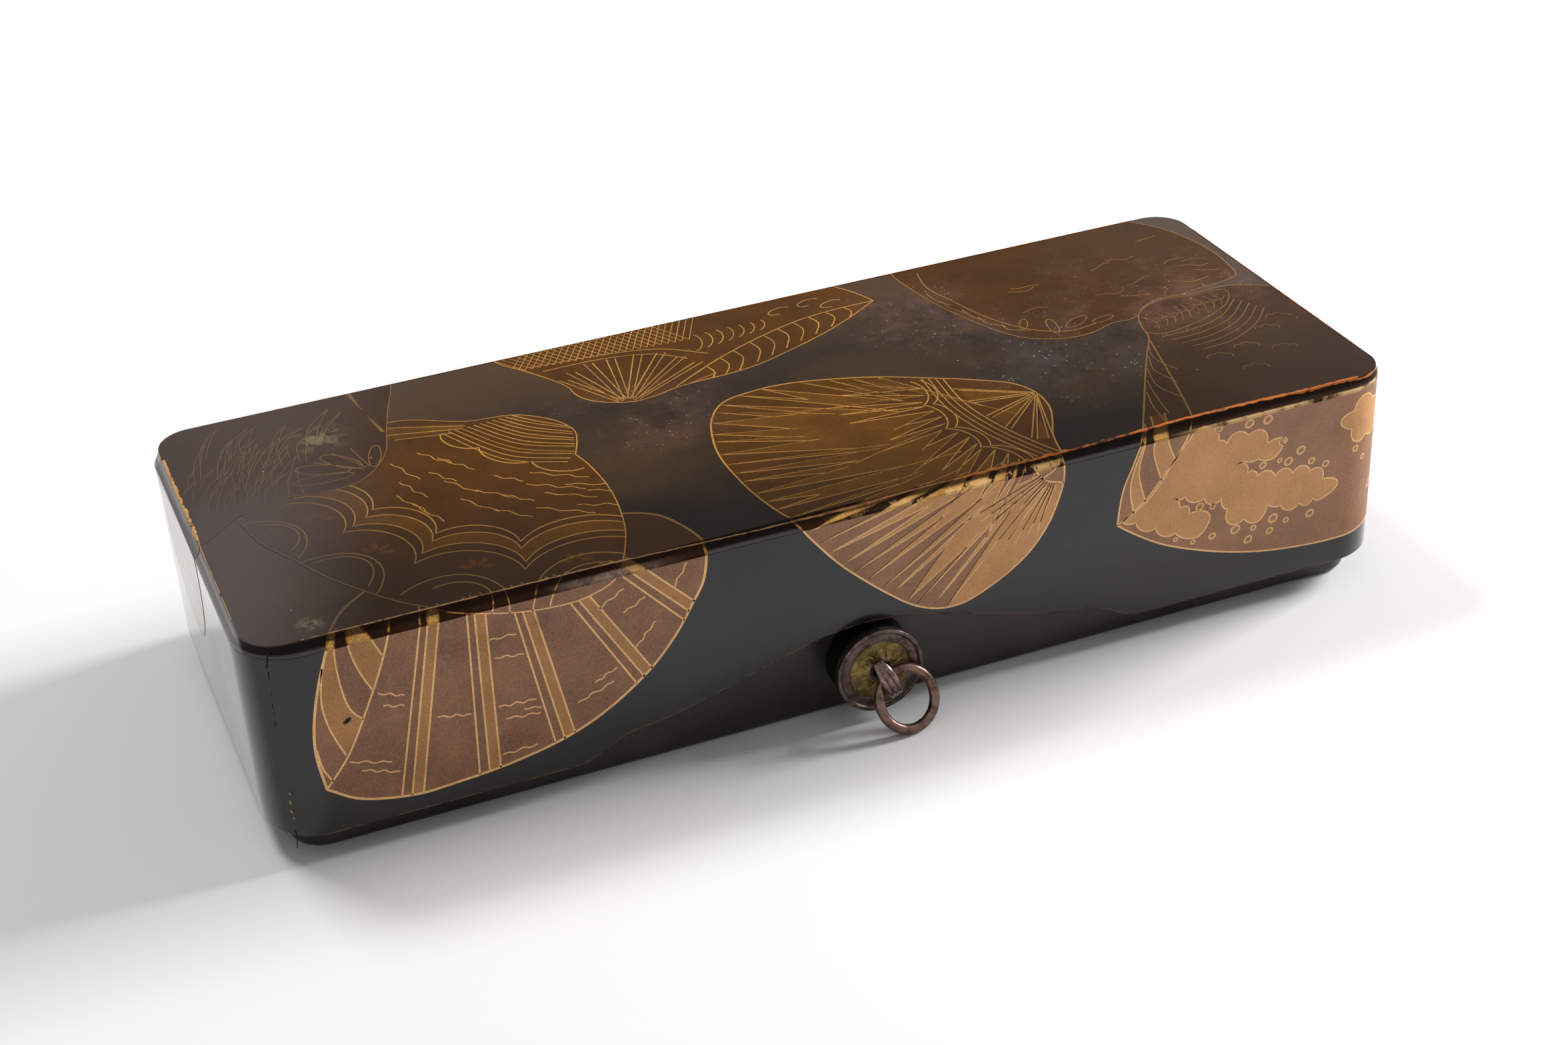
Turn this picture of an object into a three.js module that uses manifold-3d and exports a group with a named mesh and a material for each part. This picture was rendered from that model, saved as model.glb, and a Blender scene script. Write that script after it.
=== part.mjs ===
// A long lacquered letter box: a wooden base under a deep lid that slides down over it.
// The lid's long sides are cut away in a bracket-shaped arch, where a metal ring fitting
// for a tying cord stands out from each long side of the base.
// Millimetres, +Z up. The origin is on the table, at the middle of the base.

import * as THREE from "three";
import { mergeVertices } from "three/addons/utils/BufferGeometryUtils.js";
import Module from "manifold-3d";

// Lid, outside
const lidLength = 230;
const lidWidth = 90;
const lidCornerRadius = 11;
const lidWall = 3.2;
const skirtHeight = 5.6; // height of the lid's lower edge above the table
const lidWallTop = 43.4; // height at which the top panel lies on the walls

// Top panel of the lid
const panelTongue = 2; // how far the panel drops between the walls
const bandFoot = 0.5; // upright edge under the hollow band
const bandRise = 1.9; // height of the band between that edge and the ridge of the top
const bandInset = 1.5; // how far the ridge stands in from the walls
const bandHollow = 0.3; // how deep the band is hollowed
const crownRise = 1.1; // how far the top swells above its ridge
const crownFlat = 3.2; // half width of the level strip along the middle of the top

// Arch in the lid's long walls
const archHalfWidth = 58.5;
const archFootRun = 13.5; // length of the foot curve, from the skirt up to the shoulder
const archFootRise = 4.7; // height of the shoulder above the skirt
const archFootPull = 4.5; // how long the foot curve stays level at the skirt
const archOuterPull = 6.5; // how long it follows the shoulder's slope
const archInnerPull = 12; // how long the crown curve follows the shoulder's slope
const archShoulderSlope = 0.07;
const archCrownPull = 14; // how long the crown curve stays level at its top
const archClearance = 0.5; // between the crown and the fitting under it

// Base
const slipGap = 1; // running gap between lid and base
const seatGap = 0.2; // gap over the base's rim when the lid is down
const baseWall = 4.2;
const baseFootRounding = 1.3;
const baseRimRounding = 0.8;
const innerCornerRadius = 2.6;
const floorThickness = 3.6;
const floorLap = 1.6; // how far the floor board reaches under the walls
const glueLine = 0.1; // gap at a glued joint

// Ring fitting: seat, rosette, split pin and the plate that its legs are bent over
const fittingOffset = 1.3; // how far it sits to one side of the middle of the arch
const rosetteFloorGap = 2.1; // height of its lower edge above the table
const rosetteRadius = 8.8;
const rosetteThickness = 1.2;
const rosetteRimWidth = 0.9;
const rosetteRimHeight = 0.4;
const seatRadius = 8.5;
const seatDepth = 5.3;
const seatRounding = 0.4;
const metalGap = 0.1; // between pieces that bear on each other
const pinStrap = 0.8; // thickness of the strip that the split pin is bent from
const pinSlit = 0.15; // gap between its legs
const pinLegWidth = 2;
const pinLoopWidth = 3.4;
const pinLoopTip = 1.5; // width of the loop at its top and bottom
const pinLegReach = 4.2; // height of each bent leg above or below the pin's axis
const pinBend = 0.9; // radius of the bend at the foot of each leg
const pinPlay = 0.12; // between the legs and their hole
const pinTurn = 24; // degrees that the pin is turned in its hole
const loopHalfHeight = 4.6;
const loopSlack = 1.4; // room between the ring's wire and the front of the loop
const innerPlateRadius = 5;
const innerPlateThickness = 0.7;

// Ring
const ringRadius = 5.8; // to the middle of its wire
const ringWire = 1.05; // radius of the wire
const ringLean = 29; // degrees that its foot swings out from the wall
const ringYaw = 7; // degrees that it faces away from straight ahead
const ringFloorGap = 0.05;
const ringFaceGap = 0.6; // between the ring and the rosette behind it
const ringHang = 0.45; // how far the wire passes below the middle of the loop

// Facets
const cornerSteps = 16; // along each rounded corner
const crownSteps = 7;
const bandSteps = 4;
const edgeSteps = 4;
const curveSteps = 14;
const turningSteps = 48;
const wireSteps = 16;
const ringSteps = 48;

// Working values
const leastRadius = 0.4; // smallest corner radius that an inset leaves
const cutMargin = 1; // how far a cut runs past what it cuts
const roundPull = 0.55; // length of a curve's handle that makes a round quarter turn
const weldDistance = 1e-4; // points closer than this are one point

const wasm = await Module();
wasm.setup();

const degrees = THREE.MathUtils.degToRad;
const lidHalfLength = lidLength / 2;
const lidHalfWidth = lidWidth / 2;
const baseInset = lidWall + slipGap;
const baseHalfLength = lidHalfLength - baseInset;
const baseHalfWidth = lidHalfWidth - baseInset;
const baseCornerRadius = Math.max(lidCornerRadius - baseInset, baseFootRounding + leastRadius);
const ridgeHeight = lidWallTop + bandFoot + bandRise;
const baseRim = lidWallTop - panelTongue - seatGap;
const fittingHeight = rosetteFloorGap + rosetteRadius;
const shoulderHeight = skirtHeight + archFootRise;
const archTop = fittingHeight + rosetteRadius + archClearance;
const rosetteBack = metalGap + seatDepth + metalGap;
const rosetteFace = rosetteBack + rosetteThickness;
const pinBore = Math.hypot(pinLegWidth / 2, pinStrap + pinSlit / 2) + pinPlay;
const reach = 2 * lidWallTop; // longer than any cut has to be

// One material for each finish
const blackLacquer = new THREE.MeshStandardMaterial({
  name: "black_lacquer", color: 0x1d1817, roughness: 0.25, metalness: 0,
});
const brownLacquer = new THREE.MeshStandardMaterial({
  name: "brown_lacquer", color: 0x2c1c10, roughness: 0.3, metalness: 0,
});
const innerLacquer = new THREE.MeshStandardMaterial({
  name: "inner_lacquer", color: 0x191514, roughness: 0.35, metalness: 0,
});
const gildedBronze = new THREE.MeshStandardMaterial({
  name: "gilded_bronze", color: 0x5e4a28, roughness: 0.5, metalness: 0.9,
});
const darkBronze = new THREE.MeshStandardMaterial({
  name: "dark_bronze", color: 0x4a3830, roughness: 0.4, metalness: 0.9,
});


// Corner points of a rounded rectangle, anticlockwise
function roundedRectangle(halfX, halfY, radius) {
  const points = [];
  for (let corner = 0; corner < 4; corner += 1) {
    const centreX = (halfX - radius) * (corner === 0 || corner === 3 ? 1 : -1);
    const centreY = (halfY - radius) * (corner < 2 ? 1 : -1);
    for (let step = 0; step <= cornerSteps; step += 1) {
      const angle = ((corner + step / cornerSteps) * Math.PI) / 2;
      const x = centreX + radius * Math.cos(angle);
      const y = centreY + radius * Math.sin(angle);
      points.push(new THREE.Vector2(x, y));
    }
  }
  return points;
}

// A closed skin over a stack of rounded rectangles, from the lowest to the highest.
// Each section is { inset, height }, drawn in from the given outline.
function stacked(halfX, halfY, radius, sections) {
  const positions = [];
  const indices = [];
  for (const { inset, height } of sections) {
    const cornerRadius = Math.max(radius - inset, leastRadius);
    for (const point of roundedRectangle(halfX - inset, halfY - inset, cornerRadius)) {
      positions.push(point.x, point.y, height);
    }
  }
  const count = 4 * (cornerSteps + 1);
  for (let layer = 0; layer + 1 < sections.length; layer += 1) {
    for (let here = 0; here < count; here += 1) {
      const next = (here + 1) % count;
      const low = layer * count;
      const high = low + count;
      indices.push(low + here, low + next, high + next);
      indices.push(low + here, high + next, high + here);
    }
  }
  const last = (sections.length - 1) * count;
  for (let here = 1; here + 1 < count; here += 1) {
    indices.push(0, here + 1, here);
    indices.push(last, last + here, last + here + 1);
  }
  const geometry = new THREE.BufferGeometry();
  geometry.setAttribute("position", new THREE.Float32BufferAttribute(positions, 3));
  geometry.setIndex(indices);
  return geometry;
}

// A flat outline drawn in x and height, carried through along Y
function throughY(shape, from, to) {
  const geometry = new THREE.ExtrudeGeometry(shape, {
    depth: to - from, bevelEnabled: false, curveSegments: curveSteps,
  });
  geometry.rotateX(Math.PI / 2);
  geometry.translate(0, to, 0);
  return geometry;
}

// A flat plan carried upwards
function upright(shape, from, to) {
  const geometry = new THREE.ExtrudeGeometry(shape, {
    depth: to - from, bevelEnabled: false, curveSegments: curveSteps,
  });
  geometry.translate(0, 0, from);
  return geometry;
}

// A turned piece whose axis points out from the wall, along -Y.
// Its profile is a closed list of [radius, distance out from the wall].
function turned(profile) {
  const points = profile.map(([radius, out]) => new THREE.Vector2(radius, -out));
  return new THREE.LatheGeometry(points, turningSteps);
}

function toSolid(geometry) {
  const bare = geometry.clone();
  bare.deleteAttribute("normal");
  bare.deleteAttribute("uv");
  const merged = mergeVertices(bare, weldDistance);
  return new wasm.Manifold(new wasm.Mesh({
    numProp: 3,
    vertProperties: new Float32Array(merged.attributes.position.array),
    triVerts: new Uint32Array(merged.index.array),
  }));
}

function toGeometry(solid) {
  const mesh = solid.getMesh();
  const geometry = new THREE.BufferGeometry();
  geometry.setAttribute("position", new THREE.BufferAttribute(mesh.vertProperties, 3));
  geometry.setIndex(new THREE.BufferAttribute(mesh.triVerts, 1));
  geometry.computeVertexNormals();
  return geometry;
}

function piece(name, geometry, material) {
  const mesh = new THREE.Mesh(geometry, material);
  mesh.name = name;
  return mesh;
}

// The bracket-shaped opening: a level foot, a shoulder, and a swelling crown
function archOutline() {
  const shoulder = archHalfWidth - archFootRun;
  const outerDrop = archOuterPull * archShoulderSlope;
  const innerRise = archInnerPull * archShoulderSlope;
  const below = skirtHeight - archFootRise;
  const shape = new THREE.Shape();
  shape.moveTo(-archHalfWidth, below);
  shape.lineTo(archHalfWidth, below);
  shape.lineTo(archHalfWidth, skirtHeight);
  shape.bezierCurveTo(
    archHalfWidth - archFootPull, skirtHeight,
    shoulder + archOuterPull, shoulderHeight - outerDrop,
    shoulder, shoulderHeight,
  );
  shape.bezierCurveTo(
    shoulder - archInnerPull, shoulderHeight + innerRise,
    archCrownPull, archTop,
    0, archTop,
  );
  shape.bezierCurveTo(
    -archCrownPull, archTop,
    archInnerPull - shoulder, shoulderHeight + innerRise,
    -shoulder, shoulderHeight,
  );
  shape.bezierCurveTo(
    -shoulder - archOuterPull, shoulderHeight - outerDrop,
    archFootPull - archHalfWidth, skirtHeight,
    -archHalfWidth, skirtHeight,
  );
  return shape;
}

// The part of the plan that one board fills: everything on its side of the two mitres
function mitreWedge(side) {
  const apex = lidHalfLength - lidHalfWidth;
  const back = glueLine / Math.SQRT2;
  const far = lidHalfLength;
  const corners = side === "front" || side === "back"
    ? [[-apex - far + back, -far], [apex + far - back, -far], [apex, -back], [-apex, -back]]
    : [[-apex - far, -far + back], [-apex - back, 0], [-apex - far, far - back]];
  const turn = side === "back" || side === "right" ? -1 : 1;
  const shape = new THREE.Shape(corners.map(([x, y]) => new THREE.Vector2(turn * x, turn * y)));
  return toSolid(upright(shape, -reach, reach));
}

// The four mitred boards of a box, cut from its shell
function boards(prefix, shell, material) {
  const group = new THREE.Group();
  for (const side of ["front", "back", "left", "right"]) {
    const board = shell.intersect(mitreWedge(side));
    group.add(piece(`${prefix}_${side}_board`, toGeometry(board), material));
  }
  return group;
}

// Top panel: a tongue between the walls, an upright edge, a hollow band up to the ridge,
// and a top that swells towards its middle
function lidTopPanel() {
  const tongueInset = lidWall + glueLine;
  const sections = [
    { inset: tongueInset, height: lidWallTop - panelTongue },
    { inset: tongueInset, height: lidWallTop },
    { inset: 0, height: lidWallTop },
  ];
  const slant = Math.hypot(bandRise, bandInset);
  for (let step = 0; step <= bandSteps; step += 1) {
    const along = step / bandSteps;
    const hollow = bandHollow * Math.sin(Math.PI * along);
    sections.push({
      inset: bandInset * along + (hollow * bandRise) / slant,
      height: lidWallTop + bandFoot + bandRise * along - (hollow * bandInset) / slant,
    });
  }
  const crownRun = lidHalfWidth - bandInset - crownFlat;
  for (let step = 1; step <= crownSteps; step += 1) {
    const along = 1 - Math.cos((step / crownSteps) * (Math.PI / 2));
    sections.push({
      inset: bandInset + crownRun * along,
      height: ridgeHeight + crownRise * (1 - (1 - along) ** 2),
    });
  }
  const skin = stacked(lidHalfLength, lidHalfWidth, lidCornerRadius, sections);
  return piece("lid_top_panel", skin, brownLacquer);
}

// Lid walls: a rounded frame with the arch cut through both long sides
function lidBoards() {
  const outside = toSolid(stacked(lidHalfLength, lidHalfWidth, lidCornerRadius, [
    { inset: 0, height: skirtHeight },
    { inset: 0, height: lidWallTop },
  ]));
  const inside = toSolid(stacked(lidHalfLength, lidHalfWidth, lidCornerRadius, [
    { inset: lidWall, height: skirtHeight - reach },
    { inset: lidWall, height: lidWallTop + reach },
  ]));
  const arch = toSolid(throughY(archOutline(), -lidWidth, lidWidth));
  return boards("lid", outside.subtract(inside).subtract(arch), blackLacquer);
}

// Quarter-round steps for the foot or the rim of the base
function roundedEdge(height, rounding, upwards) {
  const sections = [];
  for (let step = 0; step <= edgeSteps; step += 1) {
    const angle = ((step / edgeSteps) * Math.PI) / 2;
    const foot = { inset: rounding * (1 - Math.sin(angle)), height: 1 - Math.cos(angle) };
    sections.push({ inset: foot.inset, height: height + upwards * rounding * foot.height });
  }
  return upwards > 0 ? sections : sections.reverse();
}

// Base walls: rounded at foot and rim, rebated for the floor, bored for the fittings
function baseBoards() {
  const outside = toSolid(stacked(baseHalfLength, baseHalfWidth, baseCornerRadius, [
    ...roundedEdge(0, baseFootRounding, 1),
    ...roundedEdge(baseRim, baseRimRounding, -1),
  ]));
  const innerHalfLength = baseHalfLength - baseWall;
  const innerHalfWidth = baseHalfWidth - baseWall;
  const inside = toSolid(stacked(innerHalfLength, innerHalfWidth, innerCornerRadius, [
    { inset: 0, height: -reach },
    { inset: 0, height: reach },
  ]));
  const lap = floorLap + glueLine;
  const rebate = toSolid(stacked(
    innerHalfLength + lap, innerHalfWidth + lap, innerCornerRadius,
    [{ inset: 0, height: -reach }, { inset: 0, height: floorThickness }],
  ));
  let shell = outside.subtract(inside).subtract(rebate);
  const boreLength = baseWall + 2 * cutMargin;
  const wallMiddle = baseHalfWidth - baseWall / 2;
  for (const side of [1, -1]) {
    const bore = new THREE.CylinderGeometry(pinBore, pinBore, boreLength, turningSteps);
    bore.translate(side * fittingOffset, -side * wallMiddle, fittingHeight);
    shell = shell.subtract(toSolid(bore));
  }
  return boards("base", shell, innerLacquer);
}

function baseFloor() {
  const halfLength = baseHalfLength - baseWall + floorLap;
  const halfWidth = baseHalfWidth - baseWall + floorLap;
  const skin = stacked(halfLength, halfWidth, innerCornerRadius, [
    { inset: 0, height: 0 },
    { inset: 0, height: floorThickness },
  ]);
  return piece("base_floor", skin, innerLacquer);
}

// Turned collar that carries the rosette clear of the lid's arch
function fittingSeat(prefix) {
  const back = metalGap;
  const front = metalGap + seatDepth;
  return piece(`${prefix}_seat`, turned([
    [pinBore, back],
    [pinBore, front],
    [seatRadius - seatRounding, front],
    [seatRadius, front - seatRounding],
    [seatRadius, back],
    [pinBore, back],
  ]), darkBronze);
}

// Round face plate with a raised rim
function fittingRosette(prefix) {
  const rim = rosetteFace + rosetteRimHeight;
  const innerRim = rosetteRadius - rosetteRimWidth;
  const chamfer = rosetteRimHeight / 2;
  return piece(`${prefix}_rosette`, turned([
    [pinBore, rosetteBack],
    [pinBore, rosetteFace],
    [innerRim - rosetteRimHeight, rosetteFace],
    [innerRim, rim],
    [rosetteRadius - chamfer, rim],
    [rosetteRadius, rim - chamfer],
    [rosetteRadius, rosetteBack],
    [pinBore, rosetteBack],
  ]), gildedBronze);
}

// Plate inside the box, under the bent legs of the pin
function fittingInnerPlate(prefix) {
  const front = -baseWall - metalGap;
  const back = front - innerPlateThickness;
  return piece(`${prefix}_inner_plate`, turned([
    [pinBore, back],
    [pinBore, front],
    [innerPlateRadius, front],
    [innerPlateRadius, back],
    [pinBore, back],
  ]), darkBronze);
}

// How the ring hangs: its plane, and where its wire passes through the loop
function ringPose() {
  const lean = degrees(ringLean);
  const yaw = degrees(ringYaw);
  const across = new THREE.Vector3(Math.cos(yaw), Math.sin(yaw), 0);
  const upwards = new THREE.Vector3(
    -Math.sin(lean) * Math.sin(yaw), Math.sin(lean) * Math.cos(yaw), Math.cos(lean),
  );
  // The wire passes at this height, and the foot of the ring comes down to the table
  const passHeight = fittingHeight - ringHang;
  const drop = (passHeight - ringFloorGap - ringWire) / (ringRadius * upwards.z) - 1;
  const slide = Math.acos(Math.min(drop, 1));
  // From the ring's centre to the wire in the loop
  const spoke = new THREE.Vector3()
    .addScaledVector(across, -Math.sin(slide) * ringRadius)
    .addScaledVector(upwards, Math.cos(slide) * ringRadius);
  const backmost = Math.hypot(across.y, upwards.y) * ringRadius;
  const passOut = rosetteFace + ringFaceGap + ringWire + backmost - spoke.y;
  const pass = new THREE.Vector3(0, -passOut, passHeight - fittingHeight);
  return { lean, yaw, passOut, centre: pass.clone().sub(spoke) };
}

// Middle line of half of the split pin, from the tip of its bent leg to the loop's front
function pinHalfLine(loopFront) {
  const legHeight = (pinStrap + pinSlit) / 2;
  const legBack = -baseWall - innerPlateThickness - 2 * metalGap - pinStrap / 2;
  const neck = rosetteFace + metalGap;
  const side = loopHalfHeight - pinStrap / 2;
  const widest = neck + (loopFront - neck) / 2;
  const path = new THREE.Path();
  path.moveTo(legBack, pinLegReach);
  path.lineTo(legBack, legHeight + pinBend);
  path.quadraticCurveTo(legBack, legHeight, legBack + pinBend, legHeight);
  path.lineTo(neck, legHeight);
  path.bezierCurveTo(
    neck + pinStrap, legHeight,
    neck + pinStrap / 2, side,
    widest, side,
  );
  path.bezierCurveTo(
    widest + (loopFront - widest) * roundPull, side,
    loopFront, side * roundPull,
    loopFront, 0,
  );
  return path.getPoints(curveSteps);
}

// The strip in side view, drawn as a band around its middle line; two more views trim it
function pinSideView(loopFront) {
  const half = pinHalfLine(loopFront);
  const lower = half.slice(0, -1).reverse().map((point) => new THREE.Vector2(point.x, -point.y));
  const line = [...half, ...lower];
  const offset = (index, distance) => {
    const before = line[Math.max(index - 1, 0)];
    const after = line[Math.min(index + 1, line.length - 1)];
    const along = after.clone().sub(before).normalize();
    return new THREE.Vector2(-along.y, along.x).multiplyScalar(distance).add(line[index]);
  };
  const outer = line.map((_, index) => offset(index, pinStrap / 2));
  const inner = line.map((_, index) => offset(index, -pinStrap / 2));
  return new THREE.Shape([...outer, ...inner.reverse()]);
}

// The loop is a leaf in front view: broad at its middle and narrow at its ends
function pinFrontView() {
  const tip = pinLoopTip / 2;
  const bulge = pinLoopWidth - tip;
  const height = loopHalfHeight + pinStrap;
  const shape = new THREE.Shape();
  shape.moveTo(-tip, -height);
  shape.lineTo(tip, -height);
  shape.quadraticCurveTo(bulge, 0, tip, height);
  shape.lineTo(-tip, height);
  shape.quadraticCurveTo(-bulge, 0, -tip, -height);
  return shape;
}

// In plan the legs are narrow, and the strip widens towards the front of the loop
function pinPlan(loopFront) {
  const leg = pinLegWidth / 2;
  const loop = pinLoopWidth / 2 + cutMargin;
  const widening = rosetteFace + metalGap + pinStrap;
  const shape = new THREE.Shape();
  shape.moveTo(-leg, reach);
  shape.lineTo(-leg, -widening);
  shape.lineTo(-loop, -loopFront);
  shape.lineTo(-loop, -loopFront - pinStrap);
  shape.lineTo(loop, -loopFront - pinStrap);
  shape.lineTo(loop, -loopFront);
  shape.lineTo(leg, -widening);
  shape.lineTo(leg, reach);
  return shape;
}

function splitPin(prefix) {
  const loopFront = ringPose().passOut + ringWire + loopSlack + pinStrap / 2;
  const stripWidth = pinLoopWidth + 2 * cutMargin;
  const strip = new THREE.ExtrudeGeometry(pinSideView(loopFront), {
    depth: stripWidth, bevelEnabled: false,
  });
  strip.translate(0, 0, -stripWidth / 2);
  strip.rotateX(Math.PI / 2);
  strip.rotateZ(-Math.PI / 2);
  const front = toSolid(throughY(pinFrontView(), -loopFront - pinStrap, -rosetteFace));
  const legs = new THREE.BoxGeometry(pinLegWidth, reach, reach);
  legs.translate(0, reach / 2 - rosetteFace, 0);
  const plan = toSolid(upright(pinPlan(loopFront), -reach, reach));
  const solid = toSolid(strip).intersect(front.add(toSolid(legs))).intersect(plan);
  const pin = piece(`${prefix}_split_pin`, toGeometry(solid), gildedBronze);
  pin.rotation.y = -degrees(pinTurn);
  return pin;
}

function hangingRing(prefix) {
  const pose = ringPose();
  const torus = new THREE.TorusGeometry(ringRadius, ringWire, wireSteps, ringSteps);
  const ring = piece(`${prefix}_ring`, torus, darkBronze);
  ring.rotation.set(Math.PI / 2 - pose.lean, 0, pose.yaw, "ZXY");
  ring.position.copy(pose.centre);
  return ring;
}

// One whole fitting, standing out from the base's front wall
function ringFitting(prefix) {
  const group = new THREE.Group();
  group.add(fittingSeat(prefix));
  group.add(fittingRosette(prefix));
  group.add(fittingInnerPlate(prefix));
  group.add(splitPin(prefix));
  group.add(hangingRing(prefix));
  group.position.set(fittingOffset, -baseHalfWidth, fittingHeight);
  return group;
}

function letterBox() {
  const box = new THREE.Group();
  box.add(lidTopPanel());
  box.add(lidBoards());
  box.add(baseBoards());
  box.add(baseFloor());
  box.add(ringFitting("front"));
  const back = new THREE.Group();
  back.add(ringFitting("back"));
  back.rotation.z = Math.PI;
  box.add(back);
  return box;
}

export default letterBox();
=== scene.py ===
"""Looks of a long lacquered letter box: lid, base, ring fittings, gold decoration and studio.

Shapes are worked out in millimetres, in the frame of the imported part, and stored in metres.
"""
import math
import random

import bmesh
import bpy
import numpy as np
from mathutils import Matrix, Vector
from mathutils.geometry import delaunay_2d_cdt


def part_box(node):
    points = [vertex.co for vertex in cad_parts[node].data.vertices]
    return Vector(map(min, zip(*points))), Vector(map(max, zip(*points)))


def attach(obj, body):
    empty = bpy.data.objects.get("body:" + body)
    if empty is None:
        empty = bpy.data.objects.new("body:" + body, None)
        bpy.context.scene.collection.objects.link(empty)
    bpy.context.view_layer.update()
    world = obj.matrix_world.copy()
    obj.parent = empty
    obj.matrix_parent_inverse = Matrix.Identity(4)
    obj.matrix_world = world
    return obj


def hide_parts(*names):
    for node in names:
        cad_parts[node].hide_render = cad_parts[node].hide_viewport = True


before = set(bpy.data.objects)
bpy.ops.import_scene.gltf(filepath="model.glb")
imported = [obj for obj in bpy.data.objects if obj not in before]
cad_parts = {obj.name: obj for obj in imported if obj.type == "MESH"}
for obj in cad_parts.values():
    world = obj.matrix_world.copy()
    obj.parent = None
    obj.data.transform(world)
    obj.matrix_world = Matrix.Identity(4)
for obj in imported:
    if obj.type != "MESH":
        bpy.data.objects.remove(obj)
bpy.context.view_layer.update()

MM = 0.001
SIDES = ("front", "back", "left", "right")


def node_box(node):
    """Lowest and highest corner of a node of the part, in millimetres."""
    low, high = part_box(node)
    return low / MM, high / MM


# Room for the gold inside the part's box, and the height of each layer of it
COAT = 0.09
LAYER = 0.02

# Lid, read from the part
TOP_LOW, TOP_HIGH = node_box("lid_top_panel")
BOARD_LOW, BOARD_HIGH = node_box("lid_front_board")
LID_X = TOP_HIGH.x - COAT
LID_Y = TOP_HIGH.y - COAT
SKIRT = BOARD_LOW.z
WALL_TOP = BOARD_HIGH.z
CROWN_TOP = TOP_HIGH.z - COAT

# Lid, sizes that a box can't tell
LID_CORNER = 11.0
LID_WALL = 3.2
LID_SEAM = 0.12
BAND_FOOT = 0.5
BAND_RISE = 1.9
BAND_INSET = 1.5
BAND_HOLLOW = 0.3
CROWN_RISE = 1.0
CROWN_FLAT = 3.2
CORNER_NORM = 13.2
ARCH_HALF_WIDTH = 58.5
ARCH_FOOT_RUN = 13.5
ARCH_FOOT_RISE = 4.7
ARCH_TOP = 20.2

RIDGE_Z = CROWN_TOP - CROWN_RISE
RIDGE_X = LID_X - BAND_INSET
RIDGE_Y = LID_Y - BAND_INSET
RIDGE_CORNER = 7.0
BAND_LENGTH = math.hypot(BAND_RISE, BAND_INSET)
STRAIGHT_X = LID_X - LID_CORNER
STRAIGHT_Y = LID_Y - LID_CORNER
CORNER_ARC = LID_CORNER * math.pi / 2
HALF_ROUND = 2 * (STRAIGHT_X + STRAIGHT_Y + CORNER_ARC)
LAP = 2 * RIDGE_Y
TOUCH = 0.001


def srgb(code):
    """A written colour such as "7a5a48", as linear values with alpha."""
    values = [int(code[i:i + 2], 16) / 255 for i in (0, 2, 4)]
    return [v / 12.92 if v <= 0.04045 else ((v + 0.055) / 1.055) ** 2.4 for v in values] + [1.0]


# Surface of the lid

def crown_height(x, y):
    """Height of the swelling top above a point of the plan."""
    run = RIDGE_Y - CROWN_FLAT
    near_x = min(max((RIDGE_X - abs(x)) / run, 0.0), 1.0)
    near_y = min(max((RIDGE_Y - abs(y)) / run, 0.0), 1.0)
    norm = ((1 - near_x) ** CORNER_NORM + (1 - near_y) ** CORNER_NORM) ** (1 / CORNER_NORM)
    return RIDGE_Z + CROWN_RISE * (1 - min(norm, 1.0) ** 2)


def edge_profile(depth):
    """Inset and height at a distance down the lid's side, measured from the ridge."""
    if depth <= BAND_LENGTH:
        along = 1 - depth / BAND_LENGTH
        hollow = BAND_HOLLOW * math.sin(math.pi * along)
        inset = BAND_INSET * along + hollow * BAND_RISE / BAND_LENGTH
        height = RIDGE_Z - BAND_RISE * (1 - along) - hollow * BAND_INSET / BAND_LENGTH
        return inset, height
    return 0.0, RIDGE_Z - BAND_RISE - (depth - BAND_LENGTH)


def around(s):
    """Point and outward direction on the lid's outline, s along it from the front's middle."""
    turn = 1 if s >= 0 else -1
    rest = abs(s)
    runs = []
    for length in (STRAIGHT_X, CORNER_ARC, 2 * STRAIGHT_Y, CORNER_ARC, 2 * STRAIGHT_X):
        runs.append(min(max(rest, 0.0), length))
        rest -= length
    front, first_corner, side, second_corner, back = runs
    angle = (first_corner + second_corner) / LID_CORNER
    out_x, out_y = math.sin(angle), -math.cos(angle)
    x = front - back + LID_CORNER * out_x
    y = -STRAIGHT_Y + side + LID_CORNER * out_y
    return turn * x, y, turn * out_x, out_y


def band_width(out_x, out_y):
    """Width of the hollow band in plan; it narrows round the lid's corners."""
    run_x, run_y = abs(out_x), abs(out_y)
    straight = LID_CORNER - BAND_INSET
    shift = straight - RIDGE_CORNER
    if run_y * straight <= run_x * shift:
        return LID_CORNER - straight / run_x
    if run_x * straight <= run_y * shift:
        return LID_CORNER - straight / run_y
    along = shift * (run_x + run_y)
    return LID_CORNER - along - math.sqrt(RIDGE_CORNER ** 2 - 2 * shift ** 2 + along ** 2)


def on_side(s, depth, lift):
    """Point on the lid's side: s along the outline, depth down from the ridge."""
    x, y, out_x, out_y = around(s)
    step = 0.02
    narrow = band_width(out_x, out_y) / BAND_INSET
    inset_a, height_a = edge_profile(max(depth - step, 0.0))
    inset_b, height_b = edge_profile(depth + step)
    run = Vector((narrow * (inset_a - inset_b), height_a - height_b)).normalized()
    inset, height = edge_profile(depth)
    out = run.y * lift - inset * narrow
    return Vector((x + out * out_x, y + out * out_y, height + run.x * lift))


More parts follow.
